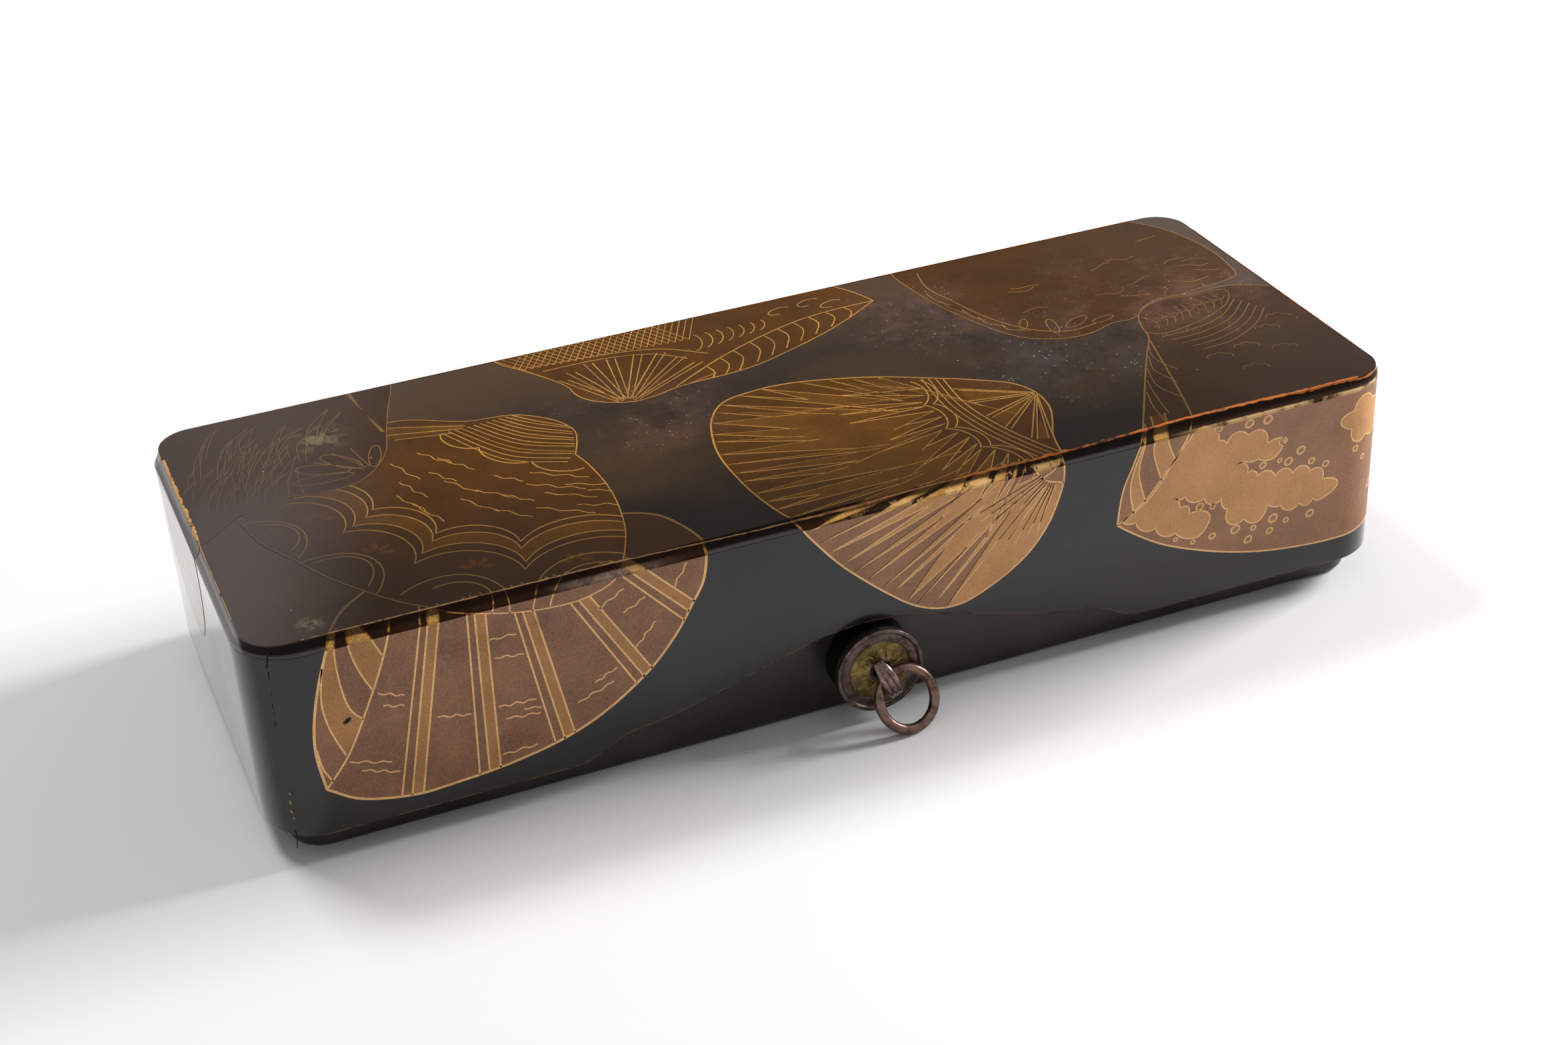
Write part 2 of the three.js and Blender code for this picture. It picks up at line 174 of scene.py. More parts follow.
def on_lid(x, v, lift=0.0):
    """Point on the lid unfolded: x along it, v from the front ridge over the top.

    Past a ridge the point goes on down that side.
    """
    if v <= TOUCH:
        return on_side(x, max(-v, 0.0), lift)
    if v >= LAP - TOUCH:
        return on_side(math.copysign(HALF_ROUND - abs(x), x), max(v - LAP, 0.0), lift)
    if abs(x) > RIDGE_X:
        s = STRAIGHT_X + CORNER_ARC + v - RIDGE_Y + STRAIGHT_Y
        return on_side(math.copysign(s, x), abs(x) - RIDGE_X, lift)
    y = v - RIDGE_Y
    return Vector((x, y, crown_height(x, y) + lift))


# Mesh helpers

def in_scene(name, data):
    """A new object of the scene that holds the data."""
    made = bpy.data.objects.new(name, data)
    bpy.context.scene.collection.objects.link(made)
    return made


def add_object(name, points, faces, body, materials, replaced, smooth=35):
    """A piece from points in millimetres, riding on a body of the part."""
    mesh = bpy.data.meshes.new(name)
    mesh.from_pydata([tuple(Vector(p) * MM) for p in points], [], faces)
    mesh.validate()
    for material in materials:
        mesh.materials.append(material)
    work = bmesh.new()
    work.from_mesh(mesh)
    bmesh.ops.remove_doubles(work, verts=work.verts, dist=1e-7)
    bmesh.ops.dissolve_degenerate(work, edges=work.edges, dist=1e-8)
    work.to_mesh(mesh)
    work.free()
    mesh.shade_smooth()
    mesh.set_sharp_from_angle(angle=math.radians(smooth))
    piece = in_scene(name, mesh)
    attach(piece, body)
    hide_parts(*replaced)
    return piece


def loop_faces(rows, count, closed_section=True):
    """Quads between rows of equal length; each row is closed on itself."""
    faces = []
    last = rows if closed_section else rows - 1
    for row in range(last):
        low = row * count
        high = (row + 1) % rows * count
        for here in range(count):
            following = (here + 1) % count
            faces.append((low + here, low + following, high + following, high + here))
    return faces


def stations(half_x, half_y, radius, spacing_x=1.5, spacing_y=3.0, corner_steps=24):
    """Points and outward directions round a rounded rectangle, anticlockwise from the right."""
    straight_x = half_x - radius
    straight_y = half_y - radius
    found = []
    corners = ((1, -1), (1, 1), (-1, 1), (-1, -1))
    for index, (sign_x, sign_y) in enumerate(corners):
        for step in range(corner_steps + 1):
            angle = (index - 1 + step / corner_steps) * math.pi / 2
            out = Vector((math.cos(angle), math.sin(angle)))
            centre = Vector((sign_x * straight_x, sign_y * straight_y))
            found.append((centre + out * radius, out))
        length = 2 * (straight_y if index % 2 == 0 else straight_x)
        spacing = spacing_y if index % 2 == 0 else spacing_x
        count = max(int(length / spacing), 1)
        start, out = found[-1]
        along = Vector((-out.y, out.x))
        for step in range(1, count):
            found.append((start + along * (length * step / count), out))
    return found


def curve_points(ends_and_pulls, steps):
    """Points along a cubic curve: its start, two pulls and its end."""
    a, b, c, d = np.array(ends_and_pulls, float)
    found = []
    for step in range(steps + 1):
        t = step / steps
        pulled = 3 * b * t * (1 - t) ** 2 + 3 * c * t * t * (1 - t)
        found.append(tuple(a * (1 - t) ** 3 + pulled + d * t ** 3))
    return found


def full_turn(steps):
    """Angles of a full turn."""
    return [2 * math.pi * step / steps for step in range(steps)]


def polar(centre, angle, radius):
    """The point at a distance from a centre in a direction."""
    return (centre[0] + radius * math.cos(angle), centre[1] + radius * math.sin(angle))


def direction(line, index):
    """Direction of a line at one of its points."""
    ahead = line[min(index + 1, len(line) - 1)]
    behind = line[max(index - 1, 0)]
    return Vector((ahead[0] - behind[0], ahead[1] - behind[1])).normalized()


def arch_edge():
    """Half widths and heights of the lid's lower edge, from its foot to the crown of the arch."""
    shoulder = ARCH_HALF_WIDTH - ARCH_FOOT_RUN
    high = SKIRT + ARCH_FOOT_RISE
    slope = 0.07
    foot_pull, outer_pull, inner_pull, crown_pull = 4.5, 6.5, 12.0, 14.0
    foot = ((ARCH_HALF_WIDTH, SKIRT), (ARCH_HALF_WIDTH - foot_pull, SKIRT),
            (shoulder + outer_pull, high - outer_pull * slope), (shoulder, high))
    crown = ((shoulder, high), (shoulder - inner_pull, high + inner_pull * slope),
             (crown_pull, ARCH_TOP), (0.0, ARCH_TOP))
    return sorted(curve_points(foot, 40) + curve_points(crown, 40))


ARCH = arch_edge()
ARCH_X = [p[0] for p in ARCH]
ARCH_Z = [p[1] for p in ARCH]


def lower_edge(x, out_y):
    """Height of the lid's lower edge at a place on its outline."""
    if abs(out_y) < 0.99 or abs(x) > ARCH_HALF_WIDTH:
        return SKIRT
    return float(np.interp(abs(x), ARCH_X, ARCH_Z))


def quarter(radius):
    """Insets and rises of a rounded lower edge, from underneath to the side."""
    angles = np.linspace(0, math.pi / 2, 6)
    return [(radius * (1 - math.sin(a)), radius * (1 - math.cos(a))) for a in angles]


def inward(place, inset, height):
    """The point at a height, in from a place on an outline."""
    spot, out = place
    return spot.x - inset * out.x, spot.y - inset * out.y, height


def lid_walls(materials):
    """The lid's four boards as one wall, arched below at the front and the back."""
    rounding = 0.45
    inner = LID_WALL - COAT
    places = stations(LID_X, LID_Y, LID_CORNER)
    # How far in each row lies, and its height from the lower edge, from the upper one or between them
    rows = [(inset, "low", rise) for inset, rise in quarter(rounding)]
    rows += [(0.0, "between", share) for share in (0.1, 0.5, 0.9)]
    rows += [(0.0, "high", -LID_SEAM), (LID_SEAM, "high", 0.0), (inner, "high", 0.0)]
    rows += [(inner, "low", rounding), (inner - rounding / 2, "low", 0.0)]
    points = []
    for inset, kind, value in rows:
        for place in places:
            low = lower_edge(place[0].x, place[1].y)
            height = {"low": low + value, "high": WALL_TOP + value,
                      "between": low + 1 + (WALL_TOP - low - 2) * value}[kind]
            points.append(inward(place, inset, height))
    faces = loop_faces(len(rows), len(places))
    boards = [f"lid_{side}_board" for side in SIDES]
    piece = add_object("lid_walls", points, faces, "lid", materials, boards)
    for face in piece.data.polygons:
        spot = face.center / MM
        on_long_side = 1.0 if abs(spot.y) > LID_Y - LID_WALL and abs(spot.x) < STRAIGHT_X else 0.0
        low = lower_edge(spot.x, on_long_side)
        outer_edge = max(abs(spot.x) - LID_X, abs(spot.y) - LID_Y) > -rounding * 0.8
        # The rounded outer lower edge takes the rim material: rubbed through in places, and painted lighter
        # as a highlight
        if spot.z < low + rounding and outer_edge:
            face.material_index = 1
    return piece


def fill_outline(outline, spacing, height):
    """Triangles filling a closed outline, with a grid of points inside it."""
    count = len(outline)
    spots = [Vector(p) for p in outline]
    low_x, high_x = min(p.x for p in spots), max(p.x for p in spots)
    low_y, high_y = min(p.y for p in spots), max(p.y for p in spots)
    grid = [Vector((x, y))
            for x in np.arange(low_x + spacing, high_x, spacing)
            for y in np.arange(low_y + spacing, high_y, spacing)]
    edges = [(i, (i + 1) % count) for i in range(count)]
    verts, _, faces, *_ = delaunay_2d_cdt(spots + grid, edges, [list(range(count))], 1, 1e-5)
    return [(p.x, p.y, height(p.x, p.y)) for p in verts], [tuple(f) for f in faces]


def lid_top(material):
    """The top panel: a tongue, an upright edge, the hollow band, and the swelling top."""
    places = stations(LID_X, LID_Y, LID_CORNER)
    widths = [band_width(out.x, out.y) for _, out in places]
    tongue = LID_WALL + 0.1
    under = ((tongue, TOP_LOW.z), (tongue, WALL_TOP), (LID_SEAM, WALL_TOP), (0.0, WALL_TOP + LID_SEAM))
    points = [inward(place, inset, height) for inset, height in under for place in places]
    for depth in np.linspace(BAND_LENGTH, 0.0, 11):
        inset, height = edge_profile(float(depth))
        points += [inward(place, inset * width / BAND_INSET, height)
                   for place, width in zip(places, widths)]
    faces = loop_faces(len(points) // len(places), len(places), closed_section=False)
    faces.append(tuple(reversed(range(len(places)))))
    ridge = [inward(place, width, 0.0)[:2] for place, width in zip(places, widths)]
    crown, crown_faces = fill_outline(ridge, 2.0, crown_height)
    start = len(points)
    points += crown
    faces += [tuple(start + i for i in face) for face in crown_faces]
    return add_object("lid_top", points, faces, "lid", [material],
                      ["lid_top_panel"], smooth=24)


def base_walls(material):
    """The base's four boards as one wall with rounded edges."""
    low, high = node_box("base_left_board")
    front_low, _ = node_box("base_front_board")
    _, floor_high = node_box("base_floor")
    wall, foot, rim, corner = 4.2, 1.3, 0.8, 6.8
    floor = floor_high.z + 0.02
    places = stations(-low.x, -front_low.y, corner, 4.0, 4.0, 16)
    sections = quarter(foot)
    sections += [(inset, high.z - rise) for inset, rise in reversed(quarter(rim))]
    sections += [(wall - inset, high.z - rise) for inset, rise in quarter(rim)]
    sections += [(wall, floor), (foot, floor)]
    points = [inward(place, inset, height) for inset, height in sections for place in places]
    faces = loop_faces(len(sections), len(places))
    boards = [f"base_{side}_board" for side in SIDES]
    return add_object("base_walls", points, faces, "base", [material], boards)


# Ring fittings, made once round the front's pin and turned half round for the back

FITTING_X = 1.3
FITTING_Z = 10.9
WALL_Y = 40.8
ROSETTE_RADIUS = 8.8
ROSETTE_FACE = 47.5 - WALL_Y
ROSETTE_THICKNESS = 1.2
ROSETTE_RIM = 0.4
FIELD_RADIUS = 6.1
SEAT_RADIUS = 8.5
SEAT_DEPTH = 5.3
PIN_BORE = 1.45
PIN_STRAP = 0.8
PIN_SLIT = 0.15
PIN_LEG = 1.0
PIN_LOOP = 1.7
PIN_TIP = 0.75
PIN_TURN = math.radians(24)
LOOP_HALF_HEIGHT = 4.6
LEG_REACH = 4.2
LEG_BEND = 0.9
LEG_BACK = -5.5
RING_RADIUS = 5.8
RING_WIRE = 1.05
RING_LEAN = math.radians(29)
RING_YAW = math.radians(7)


def fitting_place(prefix, point):
    """From a fitting's own axes (y outwards from the base's wall) to the box's."""
    x, y, z = point
    turn = 1 if prefix == "front" else -1
    return turn * (FITTING_X + x), -turn * (WALL_Y + y), FITTING_Z + z


def lathe(profile, steps=96):
    """Points and faces of a closed profile of (radius, y) turned round the y axis."""
    points = []
    for radius, y in profile:
        for angle in full_turn(steps):
            x, z = polar((0, 0), angle, radius)
            points.append((x, y, z))
    return points, loop_faces(len(profile), steps)


def arc(centre, radius, start, end, steps=5):
    """Points of a round edge in a lathe profile, angles in degrees."""
    return [polar(centre, angle, radius) for angle in np.radians(np.linspace(start, end, steps))]


def add_dome(points, faces, centre, radius, height):
    """A small six-sided bump on a face that looks along y."""
    x, y, z = centre
    steps = 6
    start = len(points)
    for size, rise in ((1.0, -0.02), (0.62, height * 0.75)):
        for angle in full_turn(steps):
            ring_x, ring_z = polar((x, z), angle, size * radius)
            points.append((ring_x, y + rise, ring_z))
    points.append((x, y + height, z))
    for step in range(steps):
        after = (step + 1) % steps
        faces.append((start + step, start + after, start + steps + after, start + steps + step))
        faces.append((start + steps + step, start + steps + after, start + 2 * steps))


def add_ridge(points, faces, line, half_width, height, y):
    """A raised stroke on a face that looks along y, narrowing to both ends."""
    start = len(points)
    count = len(line)
    for index, (x, z) in enumerate(line):
        along = direction(line, index)
        swell = math.sin(math.pi * (index + 0.3) / (count - 0.4))
        side = half_width * swell
        points.append((x - along.y * side, y - 0.02, z + along.x * side))
        points.append((x, y + height * swell, z))
        points.append((x + along.y * side, y - 0.02, z - along.x * side))
    for index in range(count - 1):
        row = start + 3 * index
        for column in (0, 1):
            low = row + column
            faces.append((low, low + 1, low + 4, low + 3))


def fitting_seat(prefix, material):
    """The round collar between the base's wall and the face plate."""
    depth = SEAT_DEPTH + 0.1
    rounding = 0.4
    profile = [(PIN_BORE, 0.1), (SEAT_RADIUS - 0.3, 0.1)]
    profile += [(SEAT_RADIUS - 0.12, 0.3), (SEAT_RADIUS - 0.3, depth * 0.35)]
    profile += arc((SEAT_RADIUS - rounding, depth - rounding), rounding, 0, 90)
    profile += [(PIN_BORE, depth)]
    points, faces = lathe(profile)
    points = [fitting_place(prefix, p) for p in points]
    return add_object(f"{prefix}_collar", points, faces, "base", [material],
                      [f"{prefix}_seat"])


def fitting_rosette(prefix, materials):
    """Face plate: a turned rim, a plain border, and a field of punched dots and chased curls."""
    back = ROSETTE_FACE - ROSETTE_THICKNESS
    top = ROSETTE_FACE + ROSETTE_RIM
    edge, lip = 0.15, 0.25
    field = ROSETTE_FACE - 0.12
    eye = 2.3
    profile = [(PIN_BORE, back), (ROSETTE_RADIUS - edge, back)]
    profile += arc((ROSETTE_RADIUS - edge, back + edge), edge, -90, 0, 4)
    profile += arc((ROSETTE_RADIUS - lip, top - lip), lip, 0, 90)
    profile += arc((ROSETTE_RADIUS - 0.6, top - lip), lip, 90, 170)
    profile += [(ROSETTE_RADIUS - 0.95, ROSETTE_FACE + 0.02), (ROSETTE_RADIUS - 1.1, ROSETTE_FACE - 0.03)]
    profile += [(ROSETTE_RADIUS - 1.25, ROSETTE_FACE), (FIELD_RADIUS + 0.25, ROSETTE_FACE + 0.03)]
    profile += [(FIELD_RADIUS + 0.1, ROSETTE_FACE), (FIELD_RADIUS, field)]
    profile += [(eye, field), (2.15, ROSETTE_FACE), (1.9, ROSETTE_FACE), (PIN_BORE, field)]
    points, faces = lathe(profile, 120)
    dice = random.Random(f"{prefix} rosette")
    curls = 13
    root = 2.7
    for turn in range(curls):
        heading = 2 * math.pi * (turn + dice.uniform(-0.15, 0.15)) / curls
        for far, bend in ((5.4, 0.55), (4.6, -0.5), (3.6, 0.4)):
            line = []
            for step in range(9):
                share = step / 8
                angle = heading + bend * 0.5 * math.sin(share * 2.6) + (0.12 if bend < 0 else 0)
                line.append(polar((0, 0), angle, root + (far - root) * share))
            add_ridge(points, faces, line, 0.17, 0.14, field)
    rings = 9
    for ring in range(rings):
        radius = 2.55 + 3.3 * ring / (rings - 1)
        count = int(2 * math.pi * radius / 0.46)
        for index in range(count):
            x, z = polar((0, 0), 2 * math.pi * (index + 0.5 * (ring % 2)) / count, radius)
            size = dice.uniform(0.13, 0.19)
            add_dome(points, faces, (x, field, z), size, dice.uniform(0.05, 0.1))
    points = [fitting_place(prefix, p) for p in points]
    piece = add_object(f"{prefix}_face_plate", points, faces, "base", materials,
                       [f"{prefix}_rosette"], smooth=50)
    middle = fitting_place(prefix, (0, 0, 0))
    for face in piece.data.polygons:
        spot = face.center / MM
        radius = math.hypot(spot.x - middle[0], spot.z - middle[2])
        outward = abs(spot.y) - WALL_Y
        if eye < radius < FIELD_RADIUS and outward > ROSETTE_FACE - 0.3:
            face.material_index = 1
    return piece


def pin_line(loop_front):
    """Middle line of half of the split pin, from its bent leg's tip to the loop's front."""
    leg = (PIN_STRAP + PIN_SLIT) / 2
    bent = LEG_BACK + LEG_BEND
    neck = ROSETTE_FACE + 0.1
    side = LOOP_HALF_HEIGHT - PIN_STRAP / 2
    widest = neck + (loop_front - neck) / 2
    pull = 0.55
    line = [(LEG_BACK, LEG_REACH + (leg + LEG_BEND - LEG_REACH) * s / 3) for s in range(3)]
    for step in range(7):
        t = step / 6
        bend_y = LEG_BACK * (1 - t) ** 2 + LEG_BACK * 2 * t * (1 - t) + bent * t * t
        bend_z = (leg + LEG_BEND) * (1 - t) ** 2 + leg * 2 * t * (1 - t) + leg * t * t
        line.append((bend_y, bend_z))
    line += [(bent + (neck - bent) * s / 4, leg) for s in range(1, 4)]
    curves = (
        ((neck, leg), (neck + PIN_STRAP, leg), (neck + PIN_STRAP / 2, side), (widest, side)),
        ((widest, side), (widest + (loop_front - widest) * pull, side),
         (loop_front, side * pull), (loop_front, 0.0)),
    )
    for curve in curves:
        line += [spot for spot in curve_points(curve, 12) if math.dist(spot, line[-1]) > 1e-6]
    return line


def split_pin(prefix, material):
    """A strip bent into a loop; outside it has three rounded flutes."""
    low, _ = node_box("front_split_pin")
    loop_front = -low.y - WALL_Y - PIN_STRAP / 2
    half = pin_line(loop_front)
    line = half + [(y, -z) for y, z in reversed(half[:-1])]
    tall = LOOP_HALF_HEIGHT + PIN_STRAP
    widening = ROSETTE_FACE + 0.1 + PIN_STRAP
    outer_side = [-1 + 2 * i / 24 for i in range(25)]
    inner_side = (1.0, 0.9, 0.3, -0.3, -0.9, -1.0)
    flute = 0.3
    edge_from, outer_rounding, inner_rounding = 0.85, 0.12, 0.1
    points = []
    for index, (y, z) in enumerate(line):
        along = direction(line, index)
        width = PIN_LEG
        flutes = 0.0
        if y > ROSETTE_FACE:
            share = (z / tall + 1) / 2
            leaf = PIN_TIP * ((1 - share) ** 2 + share ** 2)
            leaf += (2 * PIN_LOOP - PIN_TIP) * 2 * share * (1 - share)
            plan = PIN_LEG + (PIN_LOOP + 1 - PIN_LEG) * max(y - widening, 0) / (loop_front - widening)
            width = min(leaf, plan)
            flutes = min((width - PIN_TIP) / (PIN_LOOP - PIN_TIP), 1.0) * flute
        section = []
        for spot in outer_side:
            edge = outer_rounding * (1 - max(0, 1 - abs(spot)) ** 0.5) if abs(spot) > edge_from else 0.0
            dip = flutes * (1 - abs(math.cos(1.5 * math.pi * spot)))
            section.append((spot * width, PIN_STRAP / 2 - dip - edge))
        for spot in inner_side:
            edge = inner_rounding if abs(spot) == 1.0 else 0.0
            section.append((spot * width, -PIN_STRAP / 2 + edge))
        for side, rise in section:
            points.append((side, y - along.y * rise, z + along.x * rise))
    count = len(outer_side) + len(inner_side)
    faces = loop_faces(len(line), count, closed_section=False)
    faces.append(tuple(range(count)))
    faces.append(tuple(reversed(range((len(line) - 1) * count, len(line) * count))))
    cos, sin = math.cos(PIN_TURN), math.sin(PIN_TURN)
    turned = [(x * cos - z * sin, y, x * sin + z * cos) for x, y, z in points]
    points = [fitting_place(prefix, p) for p in turned]
    return add_object(f"{prefix}_pin", points, faces, "base", [material],
                      [f"{prefix}_split_pin"], smooth=40)


def hanging_ring(prefix, material):
    """A ring bent from round wire, a little uneven and worn flat on its inside."""
    turn = 1 if prefix == "front" else -1
    centre = sum(node_box(f"{prefix}_ring"), Vector()) / 2
    across = Vector((math.cos(RING_YAW), math.sin(RING_YAW), 0))
    upwards = Vector((-math.sin(RING_LEAN) * math.sin(RING_YAW),
                      math.sin(RING_LEAN) * math.cos(RING_YAW), math.cos(RING_LEAN)))
    facing = across.cross(upwards)
    points = []
    around_steps, wire_steps = 144, 28
    for angle in full_turn(around_steps):
        spoke = across * math.cos(angle) + upwards * math.sin(angle)
        thin = 0.985 - 0.02 * math.sin(3 * angle + 0.6) ** 2 - 0.015 * math.sin(7 * angle) ** 2
        for wire in full_turn(wire_steps):
            flat = 1 - 0.05 * max(0.0, -math.cos(wire)) ** 3
            wire_radius = RING_WIRE * thin * flat
            in_plane = spoke * (RING_RADIUS + wire_radius * math.cos(wire))
            spot = in_plane + facing * (wire_radius * math.sin(wire))
            points.append(tuple(centre + Vector((turn * spot.x, turn * spot.y, spot.z))))
    faces = loop_faces(around_steps, wire_steps)
    return add_object(f"{prefix}_pull_ring", points, faces, f"{prefix}_ring_body",
                      [material], [f"{prefix}_ring"], smooth=60)


# Materials

WHITE = (1, 1, 1, 1)
TOP_IOR = 1.13
GOLD_IOR = 1.1
SIDE_IOR = 1.32
FOOT_IOR = 1.55
END_IOR = 1.5


class Nodes:
    """Short calls for the nodes of one tree."""

    def __init__(self, tree):
        self.tree = tree

    def node(self, kind, inputs, **settings):
        made = self.tree.nodes.new(kind)
        for key, value in settings.items():
            setattr(made, key, value)
        for key, value in inputs.items():
            self.put(made.inputs[key], value)
        return made

    def put(self, socket, value):
        if isinstance(value, bpy.types.NodeSocket):
            self.tree.links.new(value, socket)
        else:
            socket.default_value = value

    def join(self, operation, first, *others):
        """One number from several, taken two by two."""
        for other in others:
            first = self.node("ShaderNodeMath", {0: first, 1: other}, operation=operation).outputs[0]
        return first

    def times(self, *factors):
        return self.join("MULTIPLY", *factors)

    def seen_rays(self):
        """1 for what is seen straight, in reflections or through glass."""
        path = self.node("ShaderNodeLightPath", {}).outputs
        return self.join("MAXIMUM", path["Is Camera Ray"], path["Is Glossy Ray"],
                         path["Is Transmission Ray"])


class Shader(Nodes):
    """A material, with short calls for the nodes used here."""

    def __init__(self, name):
        self.material = bpy.data.materials.new(name)
        self.material.use_nodes = True
        super().__init__(self.material.node_tree)
        self.surface = self.tree.nodes["Principled BSDF"]
        self.place = self.node("ShaderNodeTexCoord", {}).outputs["Object"]
        self.x, self.y, self.z = self.node("ShaderNodeSeparateXYZ", {"Vector": self.place}).outputs

    def set(self, **values):
        for key, value in values.items():
            self.put(self.surface.inputs[key.replace("_", " ")], value)

    def between(self, value, low, high, to_low=0.0, to_high=1.0):
        made = self.node("ShaderNodeMapRange", {
            "Value": value, "From Min": low, "From Max": high,
            "To Min": to_low, "To Max": to_high}, interpolation_type="SMOOTHSTEP")
        return made.outputs[0]

    def noise(self, scale, detail, roughness, shift=0.0):
        place = self.place
        if shift:
            place = self.node("ShaderNodeMapping", {
                "Vector": place, "Location": (shift, shift * 0.7, shift * 0.4)}).outputs[0]
        made = self.node("ShaderNodeTexNoise", {
            "Vector": place, "Scale": scale, "Detail": detail, "Roughness": roughness})
        return made.outputs["Fac"]

    def patches(self, noise, low, high, to_low=0.0, to_high=1.0):
        """Soft patches: a noise (its scale, detail and roughness) spread between two levels."""
        return self.between(self.noise(*noise), low, high, to_low, to_high)

    def blend(self, factor, a, b):
        # A colour mix has its colours in sockets 6 and 7 and gives the third output
        return self.node("ShaderNodeMix", {0: factor, 6: a, 7: b}, data_type="RGBA").outputs[2]

    def mottled(self, dark, light, noise, low, high):
        """A colour between two written ones, in soft patches."""
        return self.blend(self.patches(noise, low, high), srgb(dark), srgb(light))

    def tint(self, colour, code, *factors):
        """The colour, turned towards a written one by the product of the factors."""
        return self.blend(self.times(*factors), colour, srgb(code))

    def specks(self, scale, size, share, shift=0.0):
        """Small round dots, on a share of the cells of a pattern of that scale."""
        place = self.node("ShaderNodeMapping", {
            "Vector": self.place, "Location": (shift, shift, shift)}).outputs[0]
        cells = self.node("ShaderNodeTexVoronoi", {"Vector": place, "Scale": scale}).outputs
        dot = self.between(cells["Distance"], size, size * 0.5)
        shade = self.node("ShaderNodeSeparateColor", {"Color": cells["Color"]}).outputs[0]
        return self.times(dot, self.join("GREATER_THAN", shade, 1 - share))

    def bump(self, height, distance, strength):
        made = self.node("ShaderNodeBump", {
            "Height": height, "Distance": distance, "Strength": strength})
        self.set(Normal=made.outputs["Normal"])

    def near(self, centre, radius):
        """1 at a place in millimetres, falling to 0 at a radius."""
        gap = self.node("ShaderNodeVectorMath", {
            0: self.place, 1: [c * MM for c in centre]}, operation="DISTANCE")
        return self.between(gap.outputs["Value"], radius * MM, 0.0)


def weathered_with_painted_reflection(shader, colour):
    """The colour of the lid's top with painted grey reflections towards its left and right ends, and with
    haze, stains and dust.
    """
    # Painted reflection: greyer towards the left end of the top, most towards its front
    left = shader.join("SUBTRACT", shader.x, shader.times(shader.y, 0.4))
    colour = shader.tint(colour, "574d4b", shader.between(left, -0.07, -0.106),
                         shader.between(shader.y, 0.0, 0.02, 0.85, 0.55))
    # Painted reflection: a little greyer towards the right end
    colour = shader.tint(colour, "655c58", shader.between(shader.x, 0.065, 0.1, 0.0, 0.1))
    cloud = shader.patches((70, 6, 0.72), 0.4, 0.72)
    spots = (((40, 20, 46), 26), ((-26, 6, 46), 24), ((92, 8, 46), 36))
    haze = shader.join("MAXIMUM", *(shader.near(place, radius) for place, radius in spots))
    haze = shader.times(haze, cloud)
    colour = shader.tint(colour, "7a5644", haze, 0.55)
    dusty = shader.times(shader.near((60, -8, 46), 30), cloud)
    colour = shader.tint(colour, "5c5450", dusty, 0.4)
    for place, radius in (((-84, 26, 46), 8), ((-101.5, -39.5, 46), 3.4)):
        blotch = shader.patches((260, 5, 0.7), 0.45, 0.6)
        colour = shader.tint(colour, "80765a", shader.near(place, radius), blotch, 0.8)
    dense = shader.times(shader.specks(1000, 0.22, 0.4, 3.0), shader.join("MAXIMUM", haze, dusty))
    sparse = shader.times(shader.specks(300, 0.06, 0.1), 0.9)
    dust = shader.join("MAXIMUM", sparse, dense, shader.specks(80, 0.028, 0.4, 1.0))
    return shader.tint(colour, "c8c2ba", dust)


def band_painted_shade(shader):
    """1 on the hollow band, where shade is painted into the lacquer's colour."""
    shade = shader.between(shader.z, (RIDGE_Z - 0.1) * MM, (RIDGE_Z - 0.35) * MM, 0.0, 0.9)
    return shader.times(shade, shader.between(shader.x, -0.1132, -0.1138, 1.0, 0.2))


def end_coat(shader):
    """A clear coat on the left end of the band only."""
    end = shader.between(shader.x, -0.1134, -0.1139)
    shader.set(Coat_Weight=end, Coat_IOR=1.7, Coat_Roughness=0.15)


def top_lacquer():
    shader = Shader("top_lacquer")
    colour = shader.mottled("24180f", "3e2a16", (28, 5, 0.65), 0.3, 0.7)
    # Painted reflection: lighter brown towards the rear, greyer towards the right end
    colour = shader.tint(colour, "573a1e", shader.between(shader.y, 0.01, 0.035), 0.4)
    colour = shader.tint(colour, "4c4038", shader.between(shader.x, 0.075, 0.1), 0.6)
    # Painted shade: much darker towards the front ridge, less so near both ends
    colour = shader.tint(colour, "120d0b", shader.between(shader.y, -0.018, -0.036),
                         shader.between(shader.x, 0.08, 0.06, 0.3, 1.0),
                         shader.between(shader.x, -0.1, -0.07, 0.4, 1.0), 0.85)
    colour = weathered_with_painted_reflection(shader, colour)
    # The hollow band darkened as painted shade
    colour = shader.tint(colour, "140d0a", band_painted_shade(shader))
    rough = shader.patches((60, 5, 0.6), 0.3, 0.75, 0.2, 0.4)
    # The foot of the band catches the light as the walls do
    foot = shader.between(shader.z, (WALL_TOP + 0.95) * MM, (WALL_TOP + 0.5) * MM)
    gloss = shader.between(foot, 0.0, 1.0, TOP_IOR, FOOT_IOR)
    shader.set(Base_Color=colour, Roughness=rough, IOR=gloss)
    end_coat(shader)
    fine = shader.times(shader.noise(700, 3, 0.6), 0.05)
    shader.bump(shader.join("ADD", shader.noise(20, 3, 0.5), fine), 0.0006, 0.5)
    return shader.material


def side_gloss(shader):
    """Index of the walls; the left end and its corner are glossier."""
    return shader.between(shader.x, -0.1115, -0.1147, SIDE_IOR, END_IOR)


def side_lacquer():
    shader = Shader("side_lacquer")
    gloss = side_gloss(shader)
    colour = shader.mottled("161214", "1f1a1c", (22, 4, 0.6), 0.35, 0.7)
    colour = shader.tint(colour, "a09890", shader.specks(260, 0.06, 0.05), 0.7)
    rough = shader.patches((50, 5, 0.6), 0.3, 0.75, 0.16, 0.28)
    shader.set(Base_Color=colour, Roughness=rough, IOR=gloss,
               Coat_Weight=1.0, Coat_IOR=gloss, Coat_Roughness=0.12)
    shader.bump(shader.noise(16, 3, 0.5), 0.0006, 0.35)
    return shader.material


